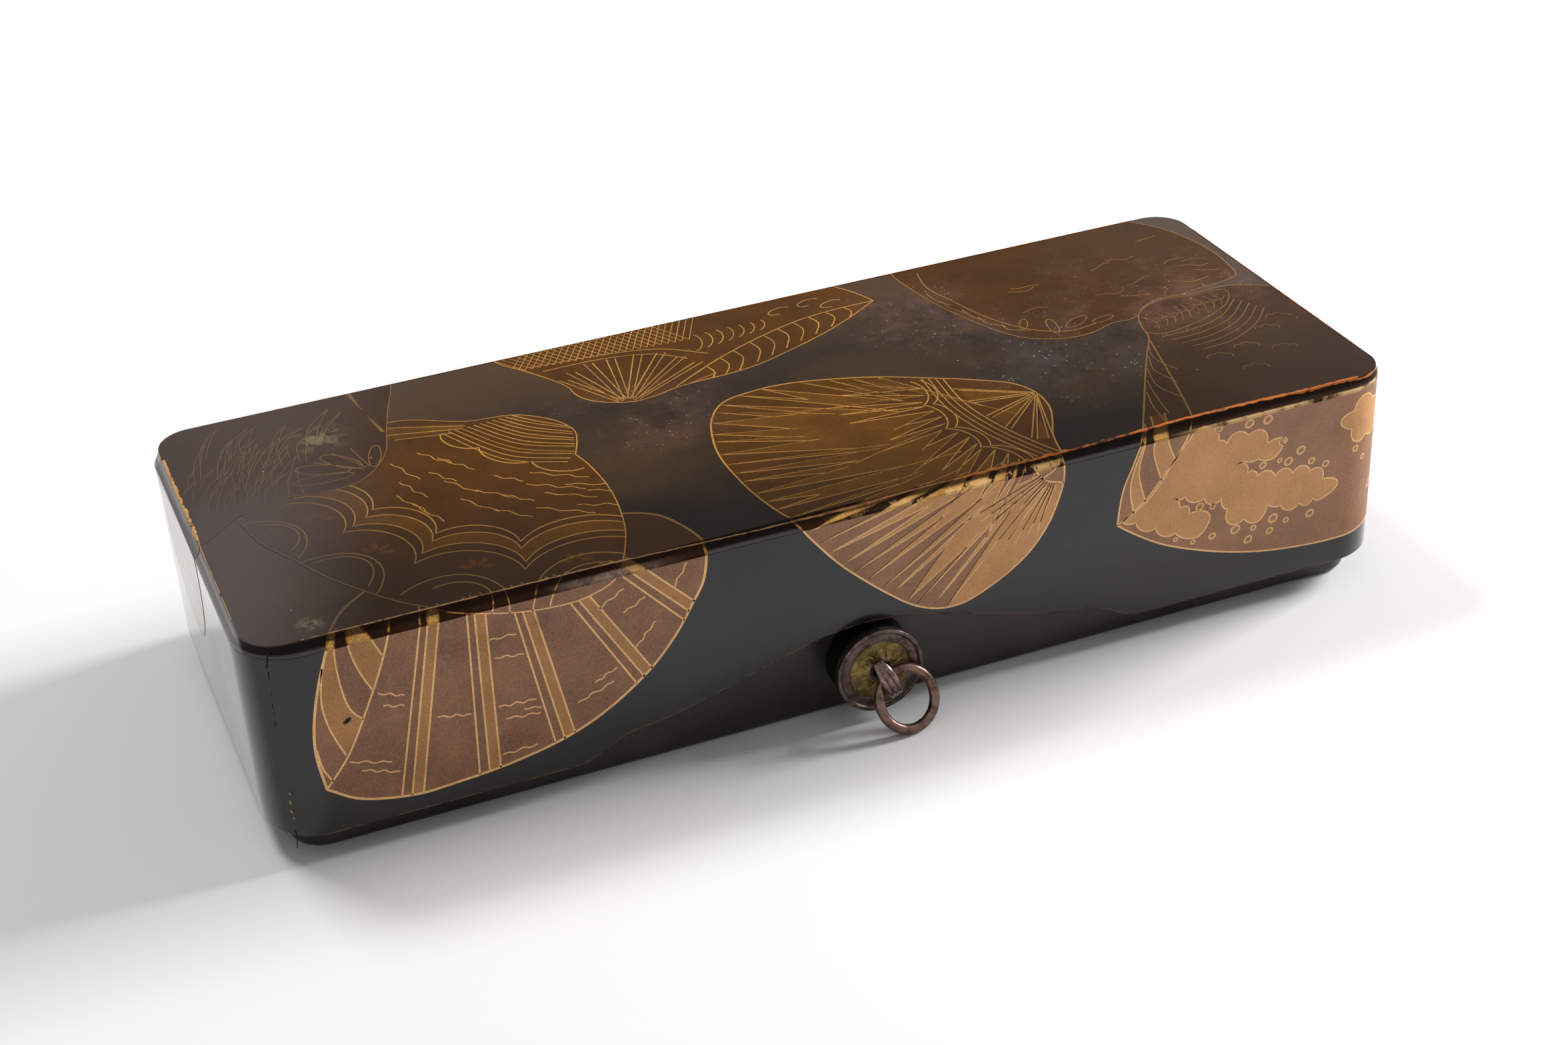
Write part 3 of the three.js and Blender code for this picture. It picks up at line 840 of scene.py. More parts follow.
def worn_edge(name, left, right, under, gap, end=None):
    """Wood and ground layers that show where an edge is rubbed through; paler on the left end."""
    shader = Shader(name)
    colour = shader.blend(shader.between(shader.x, -0.03, 0.06), srgb(left), srgb(right))
    if end:
        colour = shader.tint(colour, end, shader.between(shader.x, -0.106, -0.112))
    colour = shader.blend(shader.patches((240, 6, 0.75), gap, gap + 0.16), srgb(under), colour)
    shader.set(Base_Color=colour, Roughness=0.5, IOR=1.3)
    shader.bump(shader.noise(500, 4, 0.7), 0.0001, 0.5)
    return shader.material


def base_lacquer():
    shader = Shader("base_lacquer")
    colour = shader.mottled("2a2426", "383133", (30, 4, 0.6), 0.35, 0.7)
    rough = shader.patches((60, 5, 0.6), 0.3, 0.75, 0.25, 0.4)
    shader.set(Base_Color=colour, Roughness=rough, IOR=1.45)
    shader.bump(shader.noise(120, 4, 0.6), 0.0002, 0.4)
    return shader.material


def gold_powder(name, dark, light, metal=0.2):
    """Gold powder laid in lacquer, fine grains over a dark ground: its shader and colour."""
    shader = Shader(name)
    fine = shader.patches((2600, 4, 0.75), 0.3, 0.7)
    broad = shader.patches((90, 4, 0.6, 2.0), 0.3, 0.7)
    share = shader.join("ADD", shader.times(fine, 0.6), shader.times(broad, 0.4))
    shader.set(Roughness=0.5, Metallic=metal, IOR=GOLD_IOR)
    shader.bump(fine, 0.00004, 0.6)
    return shader, shader.blend(share, srgb(dark), srgb(light))


def top_gold(name, dark, light, faint, metal=0.05):
    """Gold on the top: faint by the motif's own tone, towards the front left, and, as painted shade,
    towards the front ridge.
    """
    shader, colour = gold_powder(name, dark, light, metal)
    tone = shader.node("ShaderNodeAttribute", {}, attribute_name="tone").outputs["Fac"]
    # Fainter towards the front ridge is painted shade, as on the bare lacquer there
    kept_and_lit = shader.times(tone, shader.between(shader.join("ADD", shader.x, shader.y), -0.135, -0.06),
                        shader.between(shader.y, -0.043, -0.006, 0.3, 1.0),
                        shader.patches((60, 5, 0.7, 1.0), 0.25, 0.6, 0.55, 1.0))
    shader.set(Base_Color=weathered_with_painted_reflection(shader, shader.blend(kept_and_lit, srgb(faint), colour)))
    end_coat(shader)
    return shader.material


def band_gold(name, dark, light, flake):
    """Gold on the hollow band: painted shade on its upper part, broken flakes, a dusty stretch and a
    painted highlight along the lip on the right.
    """
    shader, colour = gold_powder(name, dark, light)
    # Painted shade: the upper part of the band is darkened
    low = shader.between(shader.z, (RIDGE_Z - 1.0) * MM, (RIDGE_Z - 1.5) * MM)
    colour = shader.tint(colour, "1c100a", shader.between(low, 0.0, 1.0, 0.85, 0.0))
    broken = shader.patches((110, 6, 0.75, 5.0), 0.5, 0.55)
    colour = shader.tint(colour, flake, shader.near((24, -44, 45), 34), broken, low)
    colour = shader.tint(colour, "8c7466", shader.near((-48, -44, 45), 15),
                         shader.between(broken, 0.0, 1.0, 0.4, 0.9), low)
    # Painted highlight along the lip at the band's foot, on the right
    lip = shader.between(shader.z, (WALL_TOP + 0.85) * MM, (WALL_TOP + 0.6) * MM)
    colour = shader.tint(colour, "c8a274", lip, shader.between(shader.x, 0.062, 0.078),
                         shader.patches((160, 5, 0.7), 0.35, 0.55))
    shader.set(Base_Color=colour)
    end_coat(shader)
    return shader.material


def wall_gold(name, dark, light):
    """Gold under the walls' clear coat, of which less is left at the right corner; it is painted lighter
    towards the right, as painted light from that side.
    """
    shader, colour = gold_powder(name, dark, light)
    colour = shader.tint(colour, "352c38", shader.near((-61.8, -45, 38.4), 2.6),
                         shader.patches((300, 4, 0.7), 0.35, 0.6), 0.7)
    # Painted light: lighter towards the right, where the light comes from
    colour = shader.tint(colour, "e0a878", shader.between(shader.x, -0.09, 0.07, 0.0, 0.1))
    gloss = side_gloss(shader)
    shader.set(Base_Color=colour, IOR=gloss, Coat_IOR=gloss, Coat_Roughness=0.12,
               Coat_Weight=shader.between(shader.x, 0.1, 0.1125, 1.0, 0.1))
    return shader.material


def bronze(name, dark, light, rough=(0.28, 0.5), patina=None, rim=None):
    """Patinated metal; a rim colour takes over away from the middle of a fitting."""
    shader = Shader(name)
    colour = shader.mottled(dark, light, (400, 5, 0.65), 0.3, 0.7)
    if patina:
        colour = shader.tint(colour, patina, shader.patches((320, 5, 0.7, 4.0), 0.55, 0.7))
    if rim:
        middles = [fitting_place(side, (0, ROSETTE_FACE, 0)) for side in ("front", "back")]
        inner = shader.join("MAXIMUM", *(shader.near(middle, 9.5) for middle in middles))
        uneven = shader.patches((300, 4, 0.6, 3.0), 0.2, 0.8, -0.15, 0.15)
        inner = shader.between(shader.join("ADD", inner, uneven), 0.1, 0.42)
        colour = shader.blend(inner, srgb(rim), colour)
    shader.set(Base_Color=colour, Metallic=0.85,
               Roughness=shader.patches((240, 4, 0.6), 0.3, 0.7, *rough))
    shader.bump(shader.noise(1200, 4, 0.6), 0.00006, 0.5)
    return shader.material


# Gold decoration, drawn on the unfolded lid in millimetres

def smooth_line(points, corners=(), closed=False, spacing=0.8):
    """A curve through the points, sharp at the ends and at the numbered corners."""
    spots = [np.array(p, float) for p in points]
    count = len(spots)
    spans = count if closed else count - 1
    found = []
    for i in range(spans):
        a = spots[i]
        b = spots[(i + 1) % count]
        before = spots[(i - 1) % count] if closed or i > 0 else a
        after = spots[(i + 2) % count] if closed or i + 2 < count else b
        run = np.linalg.norm(b - a)
        leave = (b - a) if i in corners else (b - before) / 2
        arrive = (b - a) if (i + 1) % count in corners else (after - a) / 2
        for vector in (leave, arrive):
            length = np.linalg.norm(vector)
            if length > 0:
                vector *= min(run / length, 1.4)
        steps = max(int(run / spacing), 1)
        for step in range(steps):
            t = step / steps
            found.append(a * (2 * t ** 3 - 3 * t ** 2 + 1) + leave * (t ** 3 - 2 * t ** 2 + t)
                         + b * (3 * t ** 2 - 2 * t ** 3) + arrive * (t ** 3 - t ** 2))
    if not closed:
        found.append(spots[-1])
    return [tuple(p) for p in found]


def inside(polygon, points):
    """Which points lie in a closed polygon."""
    points = np.asarray(points, float)
    corners = np.asarray(polygon, float)
    following = np.roll(corners, -1, axis=0)
    within = np.zeros(len(points), bool)
    for (ax, ay), (bx, by) in zip(corners, following):
        if ay == by:
            continue
        crosses = (ay > points[:, 1]) != (by > points[:, 1])
        within ^= crosses & (points[:, 0] < (bx - ax) * (points[:, 1] - ay) / (by - ay) + ax)
    return within


def zones(points):
    """For each unfolded point: 0 off the lid, 1 on its top, 2 on the band, 3 on a wall."""
    points = np.asarray(points, float)
    x = np.abs(points[:, 0])
    y = np.abs(points[:, 1] - RIDGE_Y)
    corner_x = np.maximum(x - (RIDGE_X - RIDGE_CORNER), 0)
    corner_y = np.maximum(y - (RIDGE_Y - RIDGE_CORNER), 0)
    top = (x <= RIDGE_X) & (y <= RIDGE_Y) & (np.hypot(corner_x, corner_y) <= RIDGE_CORNER)
    long_side = (y > RIDGE_Y) & (x <= STRAIGHT_X + CORNER_ARC + 2 * STRAIGHT_Y)
    short_side = (x > RIDGE_X) & (y <= STRAIGHT_Y)
    depth = np.where(long_side, y - RIDGE_Y, x - RIDGE_X)
    side = np.where(depth < BAND_LENGTH + BAND_FOOT, 2, 3)
    return np.where(top, 1, np.where(long_side | short_side, side, 0))


FOLDS = [BAND_LENGTH * share for share in (0, 0.2, 0.4, 0.6, 0.8, 1)] + [BAND_LENGTH + BAND_FOOT]
FOLDS_V = [-depth for depth in FOLDS] + [LAP + depth for depth in FOLDS]
FOLDS_X = [side * (RIDGE_X + depth) for side in (-1, 1) for depth in FOLDS]
CORNER_FOLDS = [side * (STRAIGHT_X + CORNER_ARC * step / 24) for side in (-1, 1) for step in range(25)]


def crease_lines(low, high):
    """Straight lines along which the unfolded lid bends, across a rectangle."""
    (x0, y0), (x1, y1) = low, high
    lines = [((x0, v), (x1, v)) for v in FOLDS_V if y0 < v < y1]
    inner_low, inner_high = max(y0, 0.0), min(y1, LAP)
    if inner_high > inner_low:
        lines += [((x, inner_low), (x, inner_high)) for x in FOLDS_X if x0 < x < x1]
    for x in CORNER_FOLDS:
        if x0 < x < x1 and y0 < 0:
            lines.append(((x, y0), (x, min(y1, 0.0))))
        if x0 < x < x1 and y1 > LAP:
            lines.append(((x, LAP), (x, y1)))
    ring = [(p.x, p.y + RIDGE_Y) for p, _ in stations(RIDGE_X, RIDGE_Y, RIDGE_CORNER, 300, 300, 12)]
    for a, b in zip(ring, ring[1:] + ring[:1]):
        if math.dist(a, b) < 3 and x0 < a[0] < x1 and y0 < a[1] < y1:
            lines.append((a, b))
    return lines


def with_folds(line):
    """The line with points every half millimetre and wherever the lid bends."""
    spacing = 0.5
    found = []
    for a, b in zip(line, line[1:]):
        a, b = np.array(a, float), np.array(b, float)
        run = np.linalg.norm(b - a)
        steps = max(int(run / spacing), 1)
        shares = {step / steps for step in range(steps)}
        for axis, folds in ((0, FOLDS_X), (1, FOLDS_V)):
            for fold in folds:
                if (a[axis] - fold) * (b[axis] - fold) < 0:
                    shares.add((fold - a[axis]) / (b[axis] - a[axis]))
        found += [a + (b - a) * share for share in sorted(shares)]
    found.append(np.array(line[-1], float))
    return np.array(found)


ZONE_NAMES = {1: "top", 2: "band", 3: "wall"}


class Motif:
    """One gold motif: a ground with filled shapes, and drawn lines over it.

    The level says how high it lies over the others, the tone how bright its gold is on the top.
    """

    def __init__(self, name, outline, level, tone, outline_width):
        self.name = name
        self.outline = outline
        self.level = level
        self.tone = tone
        self.fills = []
        self.lines = []
        if outline_width:
            self.line(looped(outline), outline_width, clip=False)

    def fill(self, polygon):
        """A shape in brighter gold; where two overlap, the ground shows again."""
        self.fills.append(polygon)

    def line(self, points, width=0.3, clip=True, tone=1.0):
        self.lines.append((points, width, clip, tone))

    def curve(self, points, width=0.3, clip=True, **shape):
        self.line(smooth_line(points, **shape), width, clip)

    def lift(self, extra=0.0):
        """Height over the lacquer, in millimetres."""
        return LAYER + LAYER * self.level + extra

    def ground(self, points, faces, kinds):
        """Adds triangles for the ground and the filled shapes, cut where the lid bends."""
        margin, spacing = 0.5, 2.5
        low = np.min(self.outline, axis=0) - margin
        high = np.max(self.outline, axis=0) + margin
        spots, edges = [], []
        for shape in [self.outline] + self.fills:
            start = len(spots)
            count = len(shape)
            spots += [Vector((float(p[0]), float(p[1]))) for p in shape]
            edges += [(start + i, start + (i + 1) % count) for i in range(count)]
        for a, b in crease_lines(low, high):
            edges.append((len(spots), len(spots) + 1))
            spots += [Vector(a), Vector(b)]
        for x in np.arange(low[0], high[0], spacing):
            for y in np.arange(low[1], high[1], spacing):
                spots.append(Vector((float(x), float(y))))
        verts, _, triangles, *_ = delaunay_2d_cdt(spots, edges, [], 0, 1e-5)
        verts = np.array([(p.x, p.y) for p in verts])
        triangles = np.array(triangles)
        middles = verts[triangles].mean(axis=1)
        zone = zones(middles)
        keep = inside(self.outline, middles) & (zone > 0)
        filled = np.zeros(len(middles), bool)
        for polygon in self.fills:
            filled ^= inside(polygon, middles)
        start = len(points)
        points += [on_lid(x, v, self.lift()) for x, v in verts]
        for triangle, place, full in zip(triangles[keep], zone[keep], filled[keep]):
            faces.append(tuple(int(start + i) for i in triangle))
            kinds.append(ZONE_NAMES[int(place)] + ("_gold" if full else "_ground"))

    def ribbons(self, points, faces, kinds, tones):
        """Adds a narrow strip along each drawn line."""
        lift = self.lift(0.01)
        dice = random.Random(self.name)
        for line, width, clip, tone in self.lines:
            dense = with_folds(line)
            if len(dense) < 2:
                continue
            across = sideways(dense) * width / 2
            middles = (dense[:-1] + dense[1:]) / 2
            zone = zones(middles)
            keep = zone > 0
            if clip:
                keep &= inside(self.outline, middles)
            start = len(points)
            tones += [self.tone * tone * dice.uniform(0.7, 1.2)] * (2 * len(dense))
            for spot, side in zip(dense, across):
                points.append(on_lid(*(spot + side), lift))
                points.append(on_lid(*(spot - side), lift))
            for i in np.nonzero(keep)[0]:
                low = int(start + 2 * i)
                faces.append((low + 1, low + 3, low + 2, low))
                kinds.append(ZONE_NAMES[int(zone[i])] + "_line")

    def build(self, materials):
        points, faces, kinds = [], [], []
        self.ground(points, faces, kinds)
        tones = [self.tone] * len(points)
        self.ribbons(points, faces, kinds, tones)
        names = sorted(set(kinds))
        mesh = bpy.data.meshes.new(self.name)
        mesh.from_pydata([tuple(p * MM) for p in points], [], faces)
        for name in names:
            mesh.materials.append(materials[name])
        mesh.polygons.foreach_set("material_index", [names.index(kind) for kind in kinds])
        tone = mesh.attributes.new("tone", "FLOAT", "POINT")
        tone.data.foreach_set("value", tones)
        work = bmesh.new()
        work.from_mesh(mesh)
        loose = [v for v in work.verts if not v.link_faces]
        bmesh.ops.delete(work, geom=loose, context="VERTS")
        work.to_mesh(mesh)
        work.free()
        mesh.shade_smooth()
        mesh.set_sharp_from_angle(angle=math.radians(24))
        piece = in_scene(self.name, mesh)
        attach(piece, "lid")
        return piece


# Strokes that the motifs share

def scallop(a, b, bulge):
    """An arc from a to b that swells to its left by a share of its length."""
    spacing = 0.6
    a, b = np.array(a, float), np.array(b, float)
    along = b - a
    out = np.array([-along[1], along[0]]) * bulge
    crest = (a + b) / 2 + out * 1.33
    steps = max(int(np.linalg.norm(along) * 1.3 / spacing), 6)
    return curve_points((a, crest - along * 0.28, crest + along * 0.28, b), steps)


def oval(x, v, half_long, half_short, tilt=0.0, steps=14):
    """Points round an oval."""
    found = []
    for angle in full_turn(steps):
        run = half_long * math.cos(angle)
        rise = half_short * math.sin(angle)
        found.append((x + run * math.cos(tilt) - rise * math.sin(tilt),
                      v + run * math.sin(tilt) + rise * math.cos(tilt)))
    return found


def looped(points):
    """The points, and the first one again at the end."""
    return list(points) + [points[0]]


def sideways(spots):
    """Unit vectors to the left of a line, one for each of its points."""
    tangent = np.gradient(spots, axis=0)
    tangent /= np.maximum(np.linalg.norm(tangent, axis=1, keepdims=True), 1e-9)
    return np.stack([-tangent[:, 1], tangent[:, 0]], axis=1)


def between(a, b, share):
    """The point at a share of the way from a to b."""
    return (a[0] + (b[0] - a[0]) * share, a[1] + (b[1] - a[1]) * share)


def left_of(start, end):
    """Unit vector to the left of a straight stroke."""
    run = math.dist(start, end)
    return ((start[1] - end[1]) / run, (end[0] - start[0]) / run)


def moved(point, vector, distance):
    """The point moved along a vector."""
    return (point[0] + vector[0] * distance, point[1] + vector[1] * distance)


def bowed(start, end, across, up):
    """A stroke of three points, its middle moved off the straight line."""
    x, v = between(start, end, 0.5)
    return [start, (x + across, v + up), end]


def shifted(line, distance):
    """The line moved sideways, to the left of its direction."""
    spots = np.array(line, float)
    return [tuple(p) for p in spots + sideways(spots) * distance]


def scallops(nodes, bulge):
    """A chain of arcs through the nodes."""
    found = []
    for a, b in zip(nodes, nodes[1:]):
        found += scallop(a, b, bulge)[:-1]
    return found + [nodes[-1]]


def wave(start, end, dice, height=0.24, pitches=(2.4, 3.4)):
    """A short hand-drawn ripple between two points."""
    length = math.dist(start, end)
    side = left_of(start, end)
    steps = max(int(length / 0.4), 6)
    phase = dice.uniform(0, 6.28)
    pitch = dice.uniform(*pitches)
    found = []
    for step in range(steps + 1):
        share = step / steps
        rise = height * math.sin(phase + share * length * 2 * math.pi / pitch)
        rise *= math.sin(math.pi * min(share * 3, 1, (1 - share) * 3) / 2)
        found.append(moved(between(start, end, share), side, rise))
    return found


def reach(outline, centre, angle):
    """Distance from a centre to the outline in a direction."""
    cos, sin = math.cos(angle), math.sin(angle)
    farthest = 0.0
    for (ax, ay), (bx, by) in zip(outline, outline[1:] + outline[:1]):
        edge_x, edge_y = bx - ax, by - ay
        cross = cos * edge_y - sin * edge_x
        if abs(cross) < 1e-9:
            continue
        off_x, off_y = ax - centre[0], ay - centre[1]
        along = (off_x * edge_y - off_y * edge_x) / cross
        share = (off_x * sin - off_y * cos) / cross
        if 0 <= share <= 1:
            farthest = max(farthest, along)
    return farthest


def flower(motif, centre, size, heading):
    """Small fan of petals, filled."""
    petals = 4
    for index in range(petals):
        angle = heading + math.radians(50) * (index - (petals - 1) / 2)
        x, v = polar(centre, angle, size)
        motif.fill(oval(x, v, size * 0.6, size * 0.3, angle, 12))


# The motifs

def fan_shell():
    """Front left: broad rays, crescents and ripples."""
    outline = smooth_line([
        (-104.2, -31), (-105, -24), (-104.7, -18.5), (-103.2, -11.5), (-101, -4.9), (-98.5, 1), (-94, 7),
        (-84, 13), (-66, 17), (-48, 17), (-40.3, 14.6), (-35.3, 11.7), (-32.4, 6.7), (-30.6, 0),
        (-31.3, -7.3), (-33.7, -11.8), (-37.9, -18.2), (-43.6, -24.2), (-52, -30), (-60.2, -33.5),
        (-70.8, -35.8), (-81.2, -36.8), (-88.8, -37), (-98.5, -34.8)], corners=(0,), closed=True)
    motif = Motif("shell_fan", outline, 0, 0.35, 0.5)
    dice = random.Random("fan")
    rays = (
        ((-82.6, 2), (-91.6, -38)), ((-75, 2), (-76.8, -38)), ((-67.8, 2), (-61.6, -37)),
        ((-60.6, 2), (-44.6, -28)), ((-50.8, 2), (-34, -17)))
    for start, end in rays:
        left = left_of(start, end)
        inner, outer = [[moved(start, left, near), moved(end, left, far)]
                        for near, far in ((1.3, 1.9), (3.2, 4.0))]
        for line in ([start, end], inner, outer):
            motif.line(line, 0.36)
        motif.fill(inner + outer[::-1])
    motif.curve([(-104.2, -31), (-99.3, -24.8), (-93.7, -13.8), (-90.7, -6.8), (-88.4, 0)], 0.4)
    ripples = (
        ((-92.7, -14), (-88.1, -15.7)), ((-92.1, -16.8), (-88.4, -17.8)), ((-99.5, -26.5), (-92.1, -28.8)),
        ((-97.6, -28.9), (-90.9, -31.3)), ((-82.9, -22), (-76.8, -23.2)), ((-71.8, -8.9), (-66.9, -9.1)),
        ((-71.2, -12.9), (-65.9, -13.6)), ((-71.8, -23.2), (-64.7, -23.6)), ((-67.1, -25), (-64, -25.6)),
        ((-70.6, -26.1), (-64.2, -26.7)), ((-72.1, -33.5), (-65.4, -33.3)),
        ((-53.5, -23.4), (-49.2, -21.4)), ((-57.1, -26.7), (-50, -24.2)),
        ((-51.7, -8.4), (-46.5, -5.4)), ((-47, -10.4), (-42.6, -8.2)),
        ((-45.3, -18.3), (-41.2, -13.8)), ((-37.1, -7.7), (-34.4, -3.3)))
    for start, end in ripples:
        motif.line(wave(start, end, dice), 0.28)
    crescent = smooth_line([(-100.6, 0), (-101.4, -5.4), (-102.6, -13.1), (-101.9, -18.9), (-99.9, -24.9)])
    inner = smooth_line([(-95.9, -18.5), (-97.9, -15.7), (-98.9, -9.9), (-98.9, -2.8), (-97.6, 1)])
    motif.fill(crescent + inner)
    motif.line(crescent, 0.34)
    motif.line(inner, 0.34)
    second = smooth_line([(-96.2, 0), (-96.4, -3.5), (-95.4, -8.2), (-93.5, -13.1)])
    motif.fill(second + [(-91.4, -8.2), (-90.9, -6.5), (-92.5, -2.5), (-93.6, 0)])
    motif.line(second, 0.34)
    motif.line([(-93.6, 0), (-92.5, -2.5), (-90.9, -6.5)], 0.34)
    motif.curve([(-104.8, -22.5), (-104.2, -26.7), (-102.9, -29.6)], 0.34)
    return motif


def wave_shell():
    """Left of the top, falling over the front ridge: ripples, waves and flowers."""
    outline = smooth_line([
        (-105.2, 45), (-103, 34.5), (-99.2, 26.4), (-95.4, 17.9), (-90.6, 10.6), (-85, 3.6), (-79, -1),
        (-72.6, -3.2), (-64.9, -5.0), (-57.4, -5.6), (-52.3, -5.0), (-47.5, -2.6), (-42.9, 6.4),
        (-40.8, 14.6), (-39.8, 24.5), (-40.4, 34.4), (-41.4, 39.4), (-39.6, 44), (-38.6, 49.2),
        (-41.3, 55.4), (-47.3, 60.6), (-56.1, 62.4), (-70.3, 69.4), (-80, 62), (-96, 54)], corners=(0, 16),
        closed=True)
    motif = Motif("shell_waves", outline, 1, 0.9, 0.26)
    dice = random.Random("waves")
    chains = (
        [(-92, 52), (-81.8, 36.6), (-73.6, 22.9), (-60.4, 13.5), (-38, 9.3)],
        [(-92, 50), (-83.6, 34.4), (-74.9, 20.5), (-61, 11.3), (-38, 7)],
        [(-94, 48), (-86.6, 32.4), (-77.7, 17.3), (-61.6, 6.7), (-38, 4)],
        [(-96, 46.5), (-88.7, 31), (-79.8, 14.7), (-62.4, 4.4), (-38, 1.6)],
    )
    for chain in chains:
        motif.line(scallops(chain, 0.26), 0.28)
    motif.fill(scallops(chains[1], 0.26) + scallops(chains[2], 0.26)[::-1])
    lower = (
        ((-105, 43.4), (-98.2, 26.2), 0.34), ((-101.8, 41.2), (-99, 29.2), 0.34),
        ((-98.2, 24.4), (-88.4, 8.2), 0.42), ((-96.2, 23.2), (-89.2, 11.2), 0.42),
        ((-84.8, 6), (-67.6, -4.6), 0.38), ((-79, 5.6), (-70.8, -3.8), 0.36),
        ((-63.4, -5.4), (-43.6, 0.6), 0.34), ((-60.2, -5.2), (-45.6, -1.6), 0.32),
    )
    for start, end, bulge in lower:
        motif.line(scallop(start, end, bulge), 0.28)
    for spot, heading in (((-92.1, 37.8), -2.0), ((-85, 21.4), -2.1), ((-70, 8.6), -1.9),
                          ((-53.4, 3.0), -1.8), ((-100.9, 36.6), -2.2)):
        flower(motif, spot, 2.1, heading + math.pi)
    # Growth lines round the hinge
    right_edge = smooth_line([(-38.8, 50.6), (-39.4, 46.6), (-40.2, 43.4), (-41.2, 40.6), (-43.6, 37.2)])
    lines = 12
    for index in range(lines):
        share = index / (lines - 1)
        start = (-47.6 - 14.4 * share, 60.6 - 0.9 * share)
        end = right_edge[int(share * (len(right_edge) - 1))]
        motif.curve(bowed(start, end, -1.2, 0.9 - 5.6 * share), 0.26)
    motif.line(scallops([(-62.4, 59.3), (-57.2, 50.6), (-49.8, 40.6), (-41.6, 33.6)], -0.22), 0.3)
    for start, end in (((-72, 67.6), (-57, 60.6)), ((-73, 64.4), (-58, 59.8)), ((-71, 61.4), (-60, 58.8))):
        motif.curve(bowed(start, end, 0, 0), 0.24)
    motif.fill([(-73, 68.6), (-57, 61.6), (-57.6, 59.8), (-75, 62.4)])
    # Ripples on the upper half turn from down right to level
    for row in range(7):
        for column in range(5):
            a = (-77 + 7.6 * column + 3 * (row % 2) + dice.uniform(-1, 1),
                 57 - 4.4 * row - 2.4 * column + dice.uniform(-0.6, 0.6))
            slope = -1.18 + 0.19 * column
            length = dice.uniform(6, 10.5) if column < 3 else dice.uniform(8, 12)
            b = polar(a, slope, length)
            low, high = np.array(a), np.array(b)
            floor = [np.interp(p[0], (-84, -81, -73.6, -60.4, -46, -40), (40, 38.5, 27.5, 19.8, 17.2, 12.5))
                     for p in (low, high)]
            roof = [np.interp(p[0], (-80, -72, -61, -56, -50, -42, -39), (51, 58, 50, 42, 36.5, 31, 30))
                    for p in (low, high)]
            if low[1] < roof[0] and high[1] > floor[1] and high[1] < roof[1] and dice.random() < 0.85:
                motif.line(wave(a, b, dice, 0.34, (4.0, 6.5)), 0.2, tone=1.6)
    return motif


def grass_shell():
    """Rear left, over the edge: tall grass strokes and long petals."""
    outline = smooth_line([
        (-65.3, 87), (-68.2, 77), (-71.6, 65.4), (-73.6, 57.9), (-77.1, 51.9), (-80.8, 48.6), (-85, 47.4),
        (-90, 47.7), (-95, 48.9), (-105.2, 46.6), (-109.5, 42.6), (-114, 39.6), (-121, 39), (-130, 42),
        (-137, 47.5), (-140, 54), (-138, 62), (-133, 69), (-126, 73.5), (-118, 75.5), (-112, 88),
        (-100, 106), (-86, 109), (-74, 103), (-67, 95)], corners=(9,), closed=True)
    motif = Motif("shell_grass", outline, 2, 0.35, 0.2)
    dice = random.Random("grass")
    rows = (((-111.5, 50.5), (-92, 49), 9), ((-113, 57), (-95, 56), 8), ((-112, 63), (-88, 61), 9),
            ((-108, 70), (-82, 66), 8))
    for start, end, count in rows:
        for index in range(count):
            foot = between(start, end, (index + dice.uniform(-0.5, 0.5)) / count)
            tip = polar(foot, dice.uniform(0.85, 1.3), dice.uniform(8, 17))
            after = (foot[0] + dice.uniform(0.9, 2.2), foot[1] + dice.uniform(-1, 4))
            bow = dice.uniform(0.6, 1.8)
            motif.curve(bowed(foot, tip, -bow, 0.5), 0.15)
            motif.curve(bowed(tip, after, -0.3 * bow, 0.2), 0.15)
    for index in range(12):
        foot = (-118 - 0.4 * index, 42 + 2.7 * index)
        tip = (foot[0] - dice.uniform(9, 15), foot[1] + dice.uniform(-1, 2.5))
        motif.curve([foot, (between(foot, tip, 0.5)[0], foot[1] + dice.uniform(0.6, 1.6)), tip], 0.2)
    focus = (-77.7, 51.2)
    petals = ((74, 5.8, 4.4, 1.2), (127, 8.0, 5.0, 1.8), (151, 10.0, 5.4, 1.9), (172, 9.6, 5.8, 1.6))
    for angle, distance, long, wide in petals:
        turn = math.radians(angle)
        x, v = polar(focus, turn, distance)
        motif.line(looped(oval(x, v, long, wide, turn, 28)), 0.22)
    for angle, distance in ((100, 11), (139, 13), (118, 12)):
        turn = math.radians(angle)
        motif.line([polar(focus, turn, 2), polar(focus, turn, distance)], 0.22)
    for shift in (0, 2.2, 4.4):
        motif.curve([(-74.6 + shift * 0.2, 88 + shift), (-73.5, 78), (-72.4 + shift * 0.12, 66)], 0.24)
    for row in range(4):
        for column in range(4):
            base = (-106 + 9 * column + dice.uniform(-2, 2), 96 + 3.4 * row)
            motif.curve([base, (base[0] + 1.8, base[1] - 4), (base[0] + 1.2, base[1] - 8)], 0.26)
            motif.curve([(base[0] + 1.2, base[1] - 8), (base[0] + 2.6, base[1] - 3.4),
                         (base[0] + 2.2, base[1])], 0.26)
    return motif


